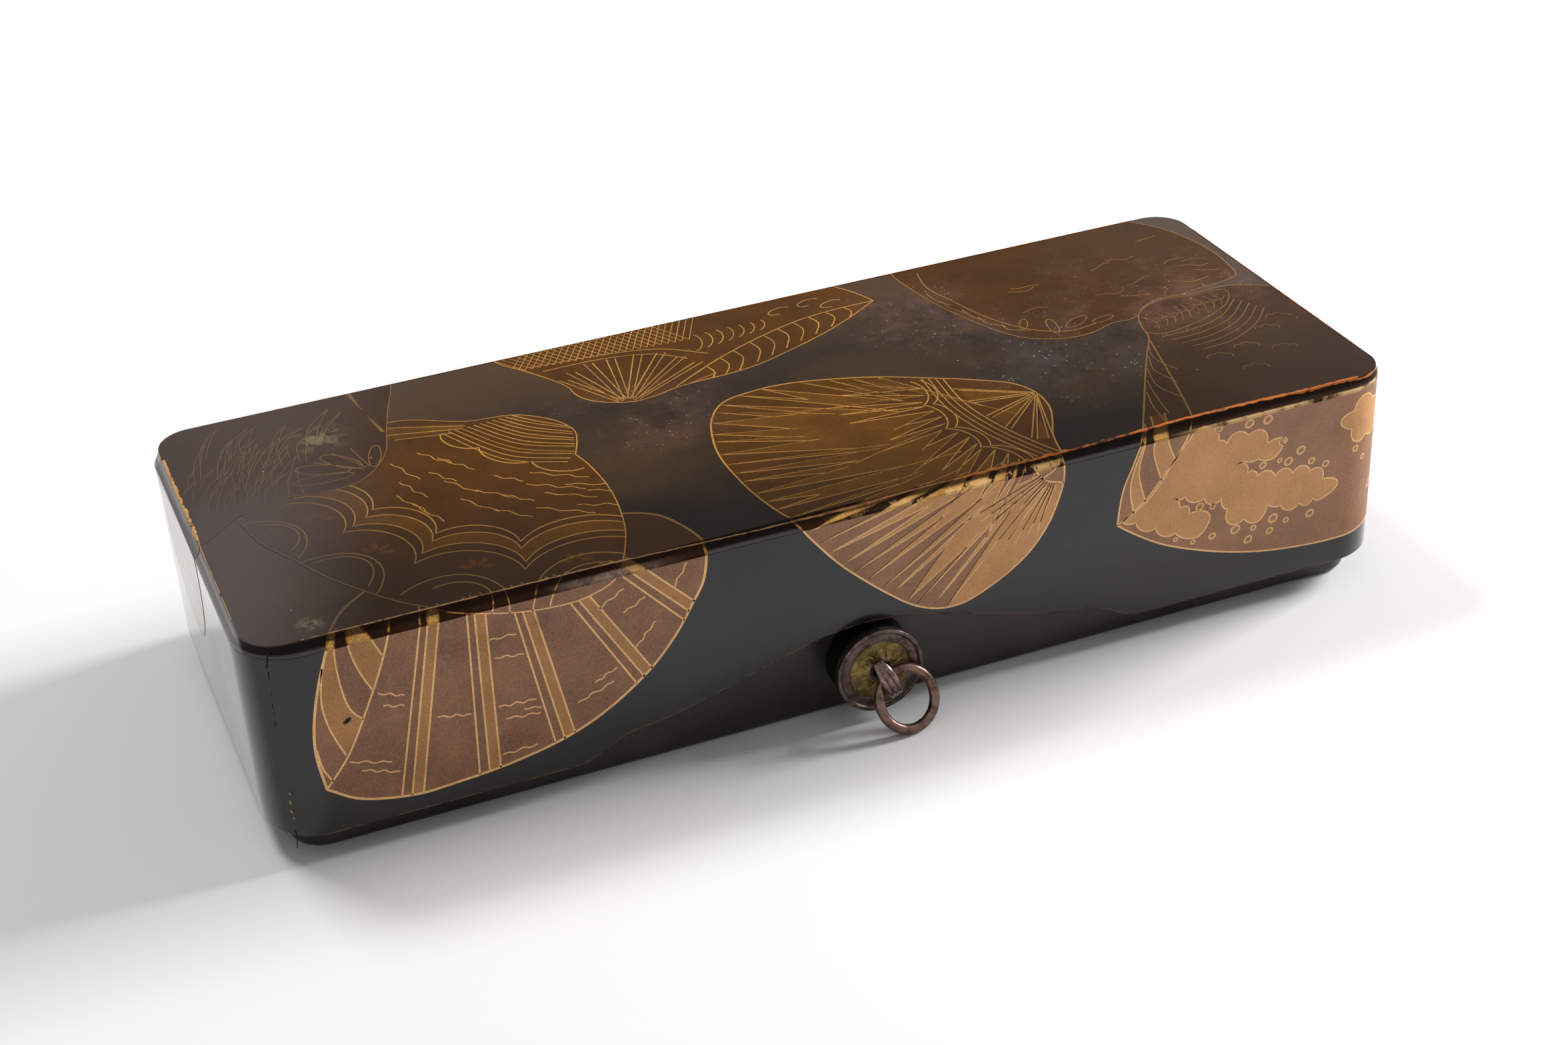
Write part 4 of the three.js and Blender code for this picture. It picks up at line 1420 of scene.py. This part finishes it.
def needle_shell():
    """Middle, over the front ridge: long needles that point at the hinge."""
    outline = smooth_line([
        (-17.2, 25), (-16.2, 31.8), (-13.4, 40.2), (-8.9, 46), (-2.7, 47.8), (5, 47.8), (14.3, 45.3),
        (23.2, 41.6), (31.2, 36.9), (36.9, 33.4), (41.2, 30.4), (44.8, 27.4), (47.2, 22.4), (47.1, 16),
        (45.1, 10.7), (42.8, 6), (41.4, 0), (41.2, -6.2), (39.7, -11), (37.6, -15.3), (34.1, -19.6),
        (29.9, -22.8), (24.8, -25.5), (19.7, -27.2), (14.6, -26.9), (9.6, -24.7), (4.7, -20.9),
        (-0.1, -16.6), (-4.8, -11.9), (-8.4, -7.5), (-11.6, -3.1), (-14.2, 1.6), (-16.4, 10.9),
        (-17.1, 18)], closed=True)
    motif = Motif("shell_needles", outline, 0, 1.0, 0.36)
    dice = random.Random("needles")
    hinge = (46.0, 7.5)
    knob = (47.2, 22.0)
    foot = (41.0, -2.6)
    band = [(27.3, 37), (25.6, 27), (25.4, 16.8), (28.4, 7.7), (33.2, -2.4)]
    outer, inner = [], []
    first, last, teeth = math.radians(124), math.radians(233), 31
    step = (last - first) / teeth
    for index in range(teeth):
        angle = first + step * (index + dice.uniform(-0.2, 0.2))
        full = reach(outline, hinge, angle)
        outer.append(polar(hinge, angle, full - 0.3))
        lean = dice.uniform(0.25, 0.75)
        outer.append(polar(hinge, angle + step * lean, full * (1 - dice.uniform(0.16, 0.62))))
    lower_right = [p for p in outline if p[1] < -6 and p[0] > 16][::-1]
    front_teeth = 10
    for index in range(front_teeth):
        angle = math.radians(250 - 62 * (index + dice.uniform(-0.2, 0.2)) / front_teeth)
        inner.append(polar(foot, angle, 4.2))
        inner.append(polar(foot, angle - 0.04, dice.uniform(9, 19)))
    line = scallops(band, 0.2)[::-1]
    top_teeth = 16
    for index in range(top_teeth):
        base = line[int((0.04 + 0.92 * index / top_teeth) * len(line))]
        away = math.atan2(base[1] - knob[1], base[0] - knob[0])
        inner.append(polar(base, away, 0.7))
        inner.append(polar(base, away - 0.06, dice.uniform(6, 19)))
    motif.fill(outer + lower_right + inner)
    for line in (outer, inner):
        motif.line(line, 0.2)
        for index in range(1, len(line) - 1, 2):
            if dice.random() < 0.6:
                tip = between(line[index], line[index + 1], -dice.uniform(0.1, 0.4))
                motif.line([line[index + 1], tip], 0.16)
    motif.line(scallops(band, 0.2), 0.26)
    motif.line(scallops([(x + 1.9, v - 0.3) for x, v in band], 0.2), 0.24)
    straight = smooth_line([(29.8, 37), (29.2, 24), (31.6, 12), (36.0, 1.2), (38.4, -3)])
    for distance, width in ((0, 0.3), (1.3, 0.24), (2.6, 0.24), (3.9, 0.3)):
        motif.line(shifted(straight, distance), width)
    stops = ((33.6, 30.5), (34.0, 24.6), (34.6, 17.8), (36.0, 12.4), (38.6, 6.6), (41.4, 5.0))
    for x, v in stops:
        motif.line([knob, (x, v)], 0.28)
        motif.line([(knob[0], knob[1] - 0.5), (x + 0.7, v - 1.0)], 0.24)
    for a, b in ((0, 1), (2, 3), (4, 5)):
        motif.fill([knob, (stops[a][0] + 0.9, stops[a][1] - 0.7), stops[b]])
    motif.curve([(42.6, 5.6), (41.6, 1), (39.6, -2.9), (36.6, -4.6)], 0.3)
    motif.curve([(35.4, -2.6), (37.2, -5.0), (41.2, -6.4)], 0.34)
    return motif


def net_shell():
    """Rear middle, over the rear edge: a fan, a net, and a row of arcs in a long lip."""
    outline = smooth_line([
        (-43.4, 86.8), (-38.9, 78.2), (-35.7, 72.1), (-33.9, 67.6), (-33.3, 62.6), (-31.3, 58.9),
        (-27.3, 56), (-23.4, 54.7), (-18.7, 55.3), (-14.9, 56.5), (-8.6, 57.1), (-2.8, 57.3), (3.8, 58.4),
        (11.3, 61.2), (20.6, 65.3), (28.4, 69.8), (36.4, 75.4), (35.3, 79.4), (33, 85), (29, 92),
        (22, 100), (10, 106), (-6, 108.6), (-22, 107), (-34, 102), (-41.5, 95)], corners=(16,), closed=True)
    motif = Motif("shell_net", outline, 0, 0.95, 0.3)
    foot = (-26, 54)
    for x, v in ((-34.5, 71), (-32, 73.6), (-27.6, 76), (-22.8, 75.8), (-17.2, 75), (-12.6, 73.6),
                 (-9.6, 69.8), (-7.4, 65.6)):
        start = between(foot, (x, v), 0.12)
        motif.line([start, (x, v)], 0.26)
        motif.line([(start[0] + 1.1, start[1]), (x + 1.7, v - 0.5)], 0.26)
    inner = smooth_line([(-14.5, 57), (-0.7, 65.8), (15.7, 73.1), (26, 75.2), (36.4, 75.4)])
    motif.line(inner, 0.3)
    under = smooth_line([(-12, 56.9), (0, 60.6), (12, 64.6)])
    motif.line(under[: len(under) // 3], 0.24)
    for step in range(10):
        share = 0.2 + 0.68 * step / 9
        a = inner[int(share * (len(inner) - 1))]
        b = (a[0] - 2.2 + 0.6 * step / 9, a[1] - (4.5 + 5.2 * math.sin(math.pi * share)))
        motif.curve(bowed(a, b, 1.6, 0.4), 0.26)
    motif.curve([(-38, 80), (-24.5, 78.6), (-12, 75.4), (-3.5, 68.2)], 0.28)
    motif.curve([(-36, 76.8), (-24.5, 76.6), (-14, 73.8), (-8, 68)], 0.24)
    for index in range(26):
        x = -42 + 1.5 * index
        for lean in (-1, 1):
            line = [(x, 79.5 - 0.12 * index), (x + lean * 5.4, 88.5)]
            motif.line(line, 0.18)
    for index in range(7):
        x = -3 + 2.5 * index
        motif.line(scallop((x, 78.2), (x - 2.0, 70.5 + 0.5 * index), 0.18), 0.22)
    for spot in ((17, 80.5), (24, 81.5), (28, 78.5)):
        motif.line(oval(*spot, 2.6, 1.4, 0.3, 20)[:15], 0.24)
    for row in range(3):
        arcs = [(-38 + 9 * i, 92 + 4.4 * row - 0.06 * (i - 3.4) ** 2) for i in range(8)]
        motif.line(scallops(arcs, -0.22), 0.3)
    return motif


def scroll_shell():
    """Rear right, over the rear edge: scrolls along its lip."""
    outline = smooth_line([
        (45.5, 87), (46, 74.5), (47.3, 65.9), (50.4, 54.9), (53.6, 47.3), (57.2, 42.9), (63.1, 39.9),
        (69.1, 39.6), (74.8, 41.6), (79.1, 41.5), (83.8, 44.2), (97, 48), (108.8, 50.8), (110.6, 56),
        (111, 66), (108, 78), (102, 88), (94, 97), (82, 105), (68, 108), (55, 103), (48, 95)], closed=True)
    motif = Motif("shell_scrolls", outline, 0, 0.6, 0.22)
    inner = smooth_line([(50.4, 84), (49, 75.6), (50.6, 67.4), (53, 57.6), (56.2, 50.4), (60.4, 45.2),
                         (66, 42.4), (72.4, 43.2)])
    motif.line(inner, 0.22)
    dice = random.Random("scrolls")
    lip = (((47.6, 73), (49.4, 65)), ((48.6, 68), (50.6, 60)), ((50.6, 62), (52.4, 55)),
           ((52, 57), (55, 50.4)), ((54.6, 51.4), (58.6, 46.4)))
    for (x, v), tip in lip:
        motif.curve([(x, v), (x + 0.2, (v + tip[1]) / 2), tip], 0.2)
    scrolls = ((63.4, 46, 3.4, 1.0, 1.4), (68.6, 45.6, 3.2, 1.3, 0.5), (58.6, 49.6, 2.4, 0.8, 1.1),
               (74, 44.2, 2.6, 1.0, 0.2))
    for scroll in scrolls:
        motif.line(looped(oval(*scroll, 24)), 0.2)
    for _ in range(14):
        spot = (57 + 46 * dice.random(), 52 + 26 * dice.random())
        line = [spot]
        for _ in range(3):
            last_spot = line[-1]
            line.append((last_spot[0] + dice.uniform(1.4, 2.6), last_spot[1] + dice.uniform(-1.4, 1.4)))
        motif.curve(line, 0.16, spacing=0.5)
    motif.fill(oval(108.4, 53.4, 1.9, 0.7, 1.3, 16))
    for row in range(4):
        motif.curve([(50 + row, 92 + 3 * row), (66, 97 + 2.6 * row), (86 - 2 * row, 95 + 2.4 * row)], 0.3)
    return motif


def cloud(motif, anchors):
    """A filled cloud; each anchor gives the start of a lobe and how far the lobe bulges."""
    edge = []
    for start, end in zip(anchors, anchors[1:] + anchors[:1]):
        edge += scallop(start[:2], end[:2], start[2])[:-1]
    motif.fill(edge)
    motif.line(edge + edge[:1], 0.3)


def cloud_shell():
    """Front right, round the corner and over the ridge: clouds and bubbles."""
    lower = smooth_line([
        (137, -7.8), (136.5, -18), (131, -27), (121, -32.6), (109.6, -34.6), (101.4, -35.1), (93.1, -34.6),
        (84.8, -33.4), (76.6, -31.3), (68.5, -28.4), (62.4, -25.6), (57.2, -22.3), (52.8, -19)])
    upper = smooth_line([
        (52.8, -19), (53.9, -11.8), (56, -6.6), (58.8, 0), (63.4, 8), (68.8, 17.3), (74.4, 26.6),
        (78, 32.4), (79.2, 37.4), (81, 42), (84.5, 45.6), (90.2, 47.4), (97.1, 46.6), (104, 47.2),
        (109.6, 45.4), (113.4, 42.8), (116.6, 38.8), (119.2, 33), (121.2, 25.4)])
    # Down the right end the shell lies in two sheets of the unfolded lid that meet along this cut
    cut = [(113.2, 25.4), (113.2, 6), (137, 1)]
    motif = Motif("shell_clouds", lower[:-1] + upper + cut, 1, 0.35, 0)
    motif.line(lower, 0.36, clip=False)
    motif.line(upper, 0.36, clip=False)
    motif.curve([(52.8, -19), (59.7, -14.8), (64.9, -7.9), (68, -2.8), (69.8, 1), (71.6, 7.3),
                 (74.6, 19), (79, 37)], 0.36)
    rear = [(69, -2.9, 0.35), (74.6, -6, 0.2), (76.3, -7.1, 0.35), (81.1, -6.4, 0.4), (85.4, -9.2, 0.8),
            (87.6, -12.6, 0.15), (83.6, -12.2, 0.15), (80.4, -11.8, 0.1)]
    middle = [(78.9, -12.1, 0.3), (81.3, -14.7, 0.3), (83.6, -16, 0.3), (87.6, -17.1, 0.35),
              (91.6, -17.4, 0.35), (95.6, -17.9, 0.4), (98.6, -20.4, 0.75), (99.2, -24.8, 0.2),
              (96.6, -24.4, 0.35), (93.6, -24.7, 0.3), (89.3, -24.1, 0.15)]
    front = [(86.2, -22.9, 0.1), (86, -23.9, 0.4), (81.1, -25.1, 0.45), (77.2, -21.8, 0.2),
             (75.8, -19.1, 0.3), (71.8, -17.9, 0.25), (67.6, -16.4, 0.25)]
    left = [(65.5, -16.3, 0.1), (66.5, -18.7, 0.4), (68.5, -20.6, 0.6), (71.1, -26.2, 0.15),
            (65.7, -24.1, 0.25), (61.3, -21.8, 0.25), (56.9, -19.4, 0.15), (53.9, -18.5, 0),
            (59.1, -14.8, 0), (65.1, -7.6, 0)]
    cloud(motif, rear + middle + front + left)
    cloud(motif, [(104.9, -6.9, 0.4), (110.6, -6, 0.4), (113, -12.4, 0.3), (108.9, -13.2, 0.45),
                  (104.6, -10.9, 0.7)])
    cloud(motif, [(118, -20, 0.4), (122.6, -18.4, 0.4), (128, -19.6, 0.4), (130.4, -23.4, 0.4),
                  (125, -26, 0.4), (119.4, -24.4, 0.4)])
    bubbles = ((81.2, -3.9, 0.95), (85.3, -4, 1.0), (89, -9.7, 0.9), (93.2, -12.7, 0.95),
               (88.5, -13.8, 0.5), (90.5, -14.5, 0.95), (84.7, -13.9, 0.75), (95.8, -15.7, 0.75),
               (99.1, -17.2, 0.75), (70.9, -19.6, 0.9), (73.8, -20.3, 0.6), (87.7, -26.6, 1.05),
               (90.7, -27.8, 0.6), (96.2, -27.7, 0.9), (79.2, -26.9, 1.05), (83.3, -27.6, 0.6),
               (87.1, -29.3, 0.75), (82.2, -30, 0.9), (74, -27, 0.75), (69.7, -27.2, 0.5),
               (65.8, -25.6, 0.45), (105.9, -15.6, 0.7), (108.2, -18.2, 0.55), (74.5, -3.4, 0.7),
               (112, -26, 0.9), (116.6, -29, 0.7), (121, -13, 0.9), (125.6, -10.4, 0.6), (130, -14, 0.8))
    for x, v, size in bubbles:
        ring = oval(x, v, size, size * 0.82, 0.5, 18)
        motif.fill(ring)
        motif.fill(oval(x, v, size * 0.55, size * 0.42, 0.5, 12))
        motif.line(looped(ring), 0.24)
    crescents = (
        [(59.6, 2), (57.8, -3.8), (56.1, -8.3), (55.5, -11.9), (56.3, -17.2)],
        [(60.2, 2), (58.3, -3.5), (57.3, -8.7), (58.8, -15.2)],
        [(62.6, 4), (60.7, -1.6), (60.5, -5.6), (62.3, -11.7)],
        [(65.6, 4), (63.5, -2.6), (65.1, -7.7)],
    )
    drawn = [smooth_line(line) for line in crescents]
    for line in drawn:
        motif.line(line, 0.34)
    motif.fill(drawn[0] + drawn[1][::-1])
    motif.fill(drawn[2] + drawn[3][::-1])
    folds = (
        [(76.4, 29.6), (74.6, 24), (76.4, 18)], [(74, 25.2), (72.2, 19.6), (73.9, 13.6)],
        [(71.2, 20.8), (69.6, 13.6), (71.6, 8)], [(68.8, 16.6), (67.3, 10), (66.4, 3.6)],
        [(66.6, 12.6), (64.9, 7), (64.2, 1)],
    )
    for fold in folds:
        motif.curve(fold, 0.2)
    cap = smooth_line([(78.4, 35.6), (79.9, 40.6), (84.5, 45.2), (90.2, 46.6), (97.1, 45.8), (103.2, 45.6),
                       (101, 40.4), (95.4, 36.4), (88.6, 33.8), (81.6, 32.6)], closed=True)
    motif.line(looped(cap), 0.24)
    dice = random.Random("net")
    for index in range(9):
        start = (82 + 2.1 * index, 35 + 0.5 * index)
        motif.curve([start, (start[0] + dice.uniform(0.5, 1.5), start[1] + 3),
                     (start[0] + dice.uniform(-1, 1), start[1] + 6.4)], 0.15)
        motif.curve([(start[0] - 1, start[1] + 4), (start[0] + 1, start[1] + 3 + dice.uniform(-1, 1)),
                     (start[0] + 3, start[1] + 4)], 0.15)
    for row in range(5):
        motif.curve([(80.4 + 1.2 * row, 31.4 - 2.1 * row), (88 + row, 31.8 - 2.0 * row),
                     (96 + row, 34.6 - 1.6 * row), (103 + 0.8 * row, 41 - 1.6 * row)], 0.18)
    for x, v in ((84, 19), (91, 20.6), (97.6, 17), (88, 12), (99, 26), (104, 30)):
        motif.line(scallops([(x, v), (x + 1.8, v + 0.9), (x + 3.8, v + 0.4), (x + 5, v - 1)], 0.4), 0.16)
    return motif


def end_shell(name, s, v, size, turn, rays):
    """A small shell low on an end wall, unfolded along the outline."""
    shape = [(-1.0, -0.1), (-0.8, 0.45), (-0.2, 0.66), (0.45, 0.6), (0.9, 0.28), (1.0, -0.05), (0.7, -0.5),
             (0.1, -0.72), (-0.6, -0.56)]
    cos, sin = math.cos(turn), math.sin(turn)
    placed = [(s + size * (x * cos - y * sin), v + size * (x * sin + y * cos)) for x, y in shape]
    motif = Motif(name, smooth_line(placed, closed=True), 0, 0.5, 0.5)
    hinge = (s + size * 0.95 * cos, v + size * 0.95 * sin)
    inwards = turn + math.pi
    near, middle, far = size * 0.42, size * 0.55, size * 2.1
    for index in range(rays):
        angle = inwards + 0.95 * (index / (rays - 1) - 0.5) * 2
        ray = [polar(hinge, angle - 0.05, near), polar(hinge, angle - 0.05, far)]
        other = [polar(hinge, angle + 0.03, near), polar(hinge, angle + 0.03, far)]
        motif.line(ray, 0.3)
        motif.line(other, 0.3)
        if index % 2:
            motif.fill(ray + other[::-1])
    motif.curve([polar(hinge, inwards - 1.0, middle), polar(hinge, inwards, near),
                 polar(hinge, inwards + 1.0, middle)], 0.34)
    return motif


# Wear

def jagged(start, end, width, dice, drift=None):
    """A strip along a ridge with an uneven, worn outline; the drift moves its middle sideways."""
    run = math.dist(start, end)
    side = left_of(start, end)
    spacing = 0.9
    count = max(int(run / spacing), 2)
    edges = ([], [])
    for index in range(count + 1):
        spot = between(start, end, index / count)
        shift = drift(spot) if drift else 0.0
        for edge, turn in zip(edges, (1, -1)):
            out = shift + turn * width(spot) * dice.uniform(0.45, 1.15)
            edge.append(moved(spot, side, out))
    return edges[0] + edges[1][::-1]


def varying(axis, places, measures):
    """A measure that changes along a ridge, given at some places."""
    return lambda spot: float(np.interp(spot[axis], places, measures))


def mark(name, outline):
    """A small motif over all others, without a drawn outline."""
    return Motif(name, outline, 3, 0.5, 0)


def wear():
    """Rubbed ridges, and the split at the front left corner of the lid."""
    dice = random.Random("wear")
    corner = STRAIGHT_X + CORNER_ARC
    front_width = varying(0, (-100, -46, -14, -6, 12, 30, 45, 56, 62, 110),
                          (0.1, 0.13, 0.17, 0.3, 0.16, 0.3, 0.22, 0.26, 0.42, 0.46))
    front_drift = varying(0, (-50, -20, 0, 12, 45, 56, 66, 82, 94),
                          (0, -0.6, -0.7, -0.25, -0.2, 0, 0.5, 0.4, 0))
    left_width = varying(1, (12, 38, 42, 46, 60, 76), (0.05, 0.07, 0.3, 0.55, 0.5, 0.4))
    strips = (
        ("front_ridge", (-STRAIGHT_X, 0), (RIDGE_X - RIDGE_CORNER, 0), front_width, front_drift),
        ("right_corner", (STRAIGHT_X, -0.3), (corner, -0.3), lambda spot: 0.28, None),
        ("rear_left_corner", (-corner, LAP + 0.3), (-STRAIGHT_X, LAP + 0.3), lambda spot: 0.3, None),
        ("left_ridge", (-RIDGE_X, 12), (-RIDGE_X, 76), left_width, None),
        ("right_ridge", (RIDGE_X, 12), (RIDGE_X, 76), lambda spot: 0.16, None),
        ("rear_ridge", (-STRAIGHT_X, LAP), (STRAIGHT_X, LAP), lambda spot: 0.26, None),
    )
    for name, start, end, width, drift in strips:
        mark(f"worn_{name}", jagged(start, end, width, dice, drift)).build(WEAR)
    split = mark("split_corner", oval(-111.1, -33.2, 0.3, 0.5))
    split.curve([(-110.2, -1.2), (-110.5, -3), (-110.9, -4.8)], 0.3, clip=False)
    split.line([(-110.7, -5.4), (-110.8, -7)], 0.14, clip=False)
    split.curve([(-111.2, -39.5), (-111.1, -41), (-111.4, -43.4)], 0.2, clip=False)
    split.build(CRACK)
    specks = ((-110.8, -31.2, 0.26), (-111.2, -35.2, 0.3), (-110.9, -36.6, 0.2))
    for index, (x, v, size) in enumerate(specks):
        mark(f"gold_speck_{index}", oval(x, v, size, size * 1.4)).build({"wall_ground": CHIP})
    for index, (high, low) in enumerate(((-9, -11), (-12, -14.6), (-15.6, -17))):
        scratch = oval(-111 - 0.1 * index, (high + low) / 2, 0.06, (high - low) / 2)
        mark(f"scratch_{index}", scratch).build({"wall_ground": SCRATCH})
    mark("missing_flake", oval(-98.7, -17.9, 0.85, 0.42, 0.6)).build({"wall_ground": SPLIT})


# Studio

CAMERA_AT = (-156.15, -418.44, 278.51)
CAMERA_YAW = 0.35579
CAMERA_PITCH = 0.55849
CAMERA_ROLL = -0.05928
FOCAL_PIXELS = 3842.2
CENTRE_SHIFT = (-8.1, 121.6)
IMAGE_WIDTH = 2352
SENSOR = 36.0

# Light from all sides, and white in reflections
AMBIENT = 0.28
REFLECTED_WHITE = 0.8
# Half of the floor's width, and where it turns to white, in metres from the middle
FLOOR_REACH = 6.0
FLOOR_FADE = (0.42, 0.78)
FLOOR_GREY = (0.93, 0.93, 0.93, 1)


def camera():
    """The viewpoint and the lens of the photo."""
    forward = Vector((math.sin(CAMERA_YAW) * math.cos(CAMERA_PITCH),
                      math.cos(CAMERA_YAW) * math.cos(CAMERA_PITCH), -math.sin(CAMERA_PITCH)))
    right = Vector((math.cos(CAMERA_YAW), -math.sin(CAMERA_YAW), 0))
    up = right.cross(forward)
    turned_right = right * math.cos(CAMERA_ROLL) + up * math.sin(CAMERA_ROLL)
    turned_up = up * math.cos(CAMERA_ROLL) - right * math.sin(CAMERA_ROLL)
    data = bpy.data.cameras.new("camera")
    data.sensor_width = SENSOR
    data.lens = FOCAL_PIXELS / IMAGE_WIDTH * SENSOR
    data.shift_x = -CENTRE_SHIFT[0] / IMAGE_WIDTH
    data.shift_y = CENTRE_SHIFT[1] / IMAGE_WIDTH
    data.clip_start = 0.01
    made = in_scene("camera", data)
    turn = Matrix((turned_right, turned_up, -forward)).transposed()
    made.matrix_world = Matrix.Translation(Vector(CAMERA_AT) * MM) @ turn.to_4x4()
    bpy.context.scene.camera = made


def lamp(name, at, target, size, watts):
    """A rectangular lamp that shines at a target; places and sizes in metres."""
    data = bpy.data.lights.new(name, "AREA")
    data.shape = "RECTANGLE"
    data.size, data.size_y = size
    data.energy = watts
    made = in_scene(name, data)
    made.location = at
    made.rotation_euler = (Vector(target) - Vector(at)).to_track_quat("-Z", "Y").to_euler()


def background(tree):
    """An even light, with white seen straight and a little less in reflections."""
    nodes = Nodes(tree)
    plain = tree.nodes["Background"]
    nodes.put(plain.inputs["Color"], WHITE)
    nodes.put(plain.inputs["Strength"], AMBIENT)
    straight = nodes.node("ShaderNodeLightPath", {}).outputs["Is Camera Ray"]
    level = nodes.node("ShaderNodeMapRange", {"Value": straight, "To Min": REFLECTED_WHITE}).outputs[0]
    white = nodes.node("ShaderNodeBackground", {"Color": WHITE, "Strength": level})
    mixer = nodes.node("ShaderNodeMixShader", {
        0: nodes.seen_rays(), 1: plain.outputs[0], 2: white.outputs[0]})
    nodes.put(tree.nodes["World Output"].inputs["Surface"], mixer.outputs[0])


def floor_material():
    """Pale and plain; past the shadows it turns to the white of the background."""
    shader = Shader("floor")
    shader.set(Base_Color=FLOOR_GREY, Roughness=0.9, IOR=1.2)
    away = shader.node("ShaderNodeVectorMath", {0: shader.place}, operation="LENGTH").outputs["Value"]
    share = shader.times(shader.between(away, *FLOOR_FADE), shader.seen_rays())
    white = shader.node("ShaderNodeEmission", {"Color": WHITE, "Strength": 1.0})
    mixer = shader.node("ShaderNodeMixShader", {
        0: share, 1: shader.surface.outputs[0], 2: white.outputs[0]})
    shader.put(shader.tree.nodes["Material Output"].inputs["Surface"], mixer.outputs[0])
    return shader.material


def studio():
    scene = bpy.context.scene
    scene.view_settings.view_transform = "Standard"
    scene.world = bpy.data.worlds.new("studio")
    scene.world.use_nodes = True
    background(scene.world.node_tree)
    # The light from the right lays the long soft shadow to the left, the one behind the short one in front
    lamp("key", (1.27, 0.07, 0.58), (0, 0, 0), (0.5, 0.35), 27)
    lamp("back", (-0.34, 0.63, 1.15), (0, 0, 0.02), (0.35, 0.35), 6.8)
    mesh = bpy.data.meshes.new("floor")
    corners = [(x * FLOOR_REACH, y * FLOOR_REACH, 0) for x, y in ((-1, -1), (1, -1), (1, 1), (-1, 1))]
    mesh.from_pydata(corners, [], [(0, 1, 2, 3)])
    mesh.materials.append(floor_material())
    floor = in_scene("floor", mesh)


# The scene

def rest_of_frame():
    """Nodes of the part that keep their own shape, with a finished material."""
    metal = bronze("fitting_bronze", "3a2c24", "7a5f44")
    for name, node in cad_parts.items():
        if node.hide_render:
            continue
        material = LACQUER_BASE if name == "base_floor" else metal
        node.data.materials.clear()
        node.data.materials.append(material)


camera()
studio()

LACQUER_TOP = top_lacquer()
LACQUER_SIDE = side_lacquer()
LACQUER_BASE = base_lacquer()
GOLD = {
    "top_ground": top_gold("gold_top_ground", "442809", "60390b", "2a1c12"),
    "top_gold": top_gold("gold_top_fill", "50310b", "744b17", "3e260f"),
    "top_line": top_gold("gold_top_line", "a87430", "dca458", "574428", metal=0.1),
    "wall_ground": wall_gold("gold_side_ground", "5e3c28", "9e6a46"),
    "wall_gold": wall_gold("gold_side_fill", "a06c3a", "d09656"),
    "wall_line": wall_gold("gold_side_line", "cc965a", "ffca88"),
    "band_ground": band_gold("gold_band_ground", "140c08", "36200f", "dcae70"),
    "band_gold": band_gold("gold_band_fill", "8a6030", "e6b266", "e0b474"),
    "band_line": band_gold("gold_band_line", "6a4820", "b88644", "d8a868"),
}
FAN_GOLD = {**GOLD, "wall_gold": wall_gold("gold_fan_fill", "8a5c30", "bc8446")}
WORN = worn_edge("worn_ridge", "9a7048", "b4601c", "1c120c", 0.34, end="d09a58")
# The lid's lower rim: rubbed wear, and a painted highlight along its rounded edge
WORN_AND_LIT_RIM = worn_edge("worn_rim", "6a4c34", "54402f", "1c1616", 0.4, end="d0a07c")
WEAR = {kind: WORN for kind in ("top_ground", "band_ground", "wall_ground")}
CHIP = worn_edge("worn_chip", "b08048", "b08048", "3a2a1c", 0.4)
SPLIT = worn_edge("split", "080606", "080606", "140f0d", 0.5)
SCRATCH = worn_edge("scratch", "8a827a", "8a827a", "2a2626", 0.45)
CRACK = {"wall_ground": CHIP, "wall_line": SPLIT, "band_line": SPLIT, "top_line": SPLIT}
COLLAR = bronze("collar_bronze", "0c0c09", "1c1e15", rough=(0.35, 0.6))
BORDER = bronze("border_bronze", "3c2f2b", "6e5e57", rough=(0.28, 0.45), patina="201a18")
FIELD = bronze("field_bronze", "463a20", "98804a", rough=(0.28, 0.45), patina="5a3a28", rim="4a3832")
PIN = bronze("pin_bronze", "544442", "988078", rough=(0.14, 0.3), patina="7a5038")
RING = bronze("ring_bronze", "46322c", "866a60", rough=(0.2, 0.36), patina="6a4634")
lid_top(LACQUER_TOP)
lid_walls([LACQUER_SIDE, WORN_AND_LIT_RIM])
base_walls(LACQUER_BASE)
for prefix in ("front", "back"):
    fitting_seat(prefix, COLLAR)
    fitting_rosette(prefix, [BORDER, FIELD])
    split_pin(prefix, PIN)
    hanging_ring(prefix, RING)
rest_of_frame()

MOTIFS = [
    fan_shell(), wave_shell(), grass_shell(), needle_shell(), net_shell(), scroll_shell(), cloud_shell(),
    end_shell("shell_right_end", 168, -24, 16, 0.4, 9),
]
for made in MOTIFS:
    made.build(FAN_GOLD if made.name == "shell_fan" else GOLD)
wear()
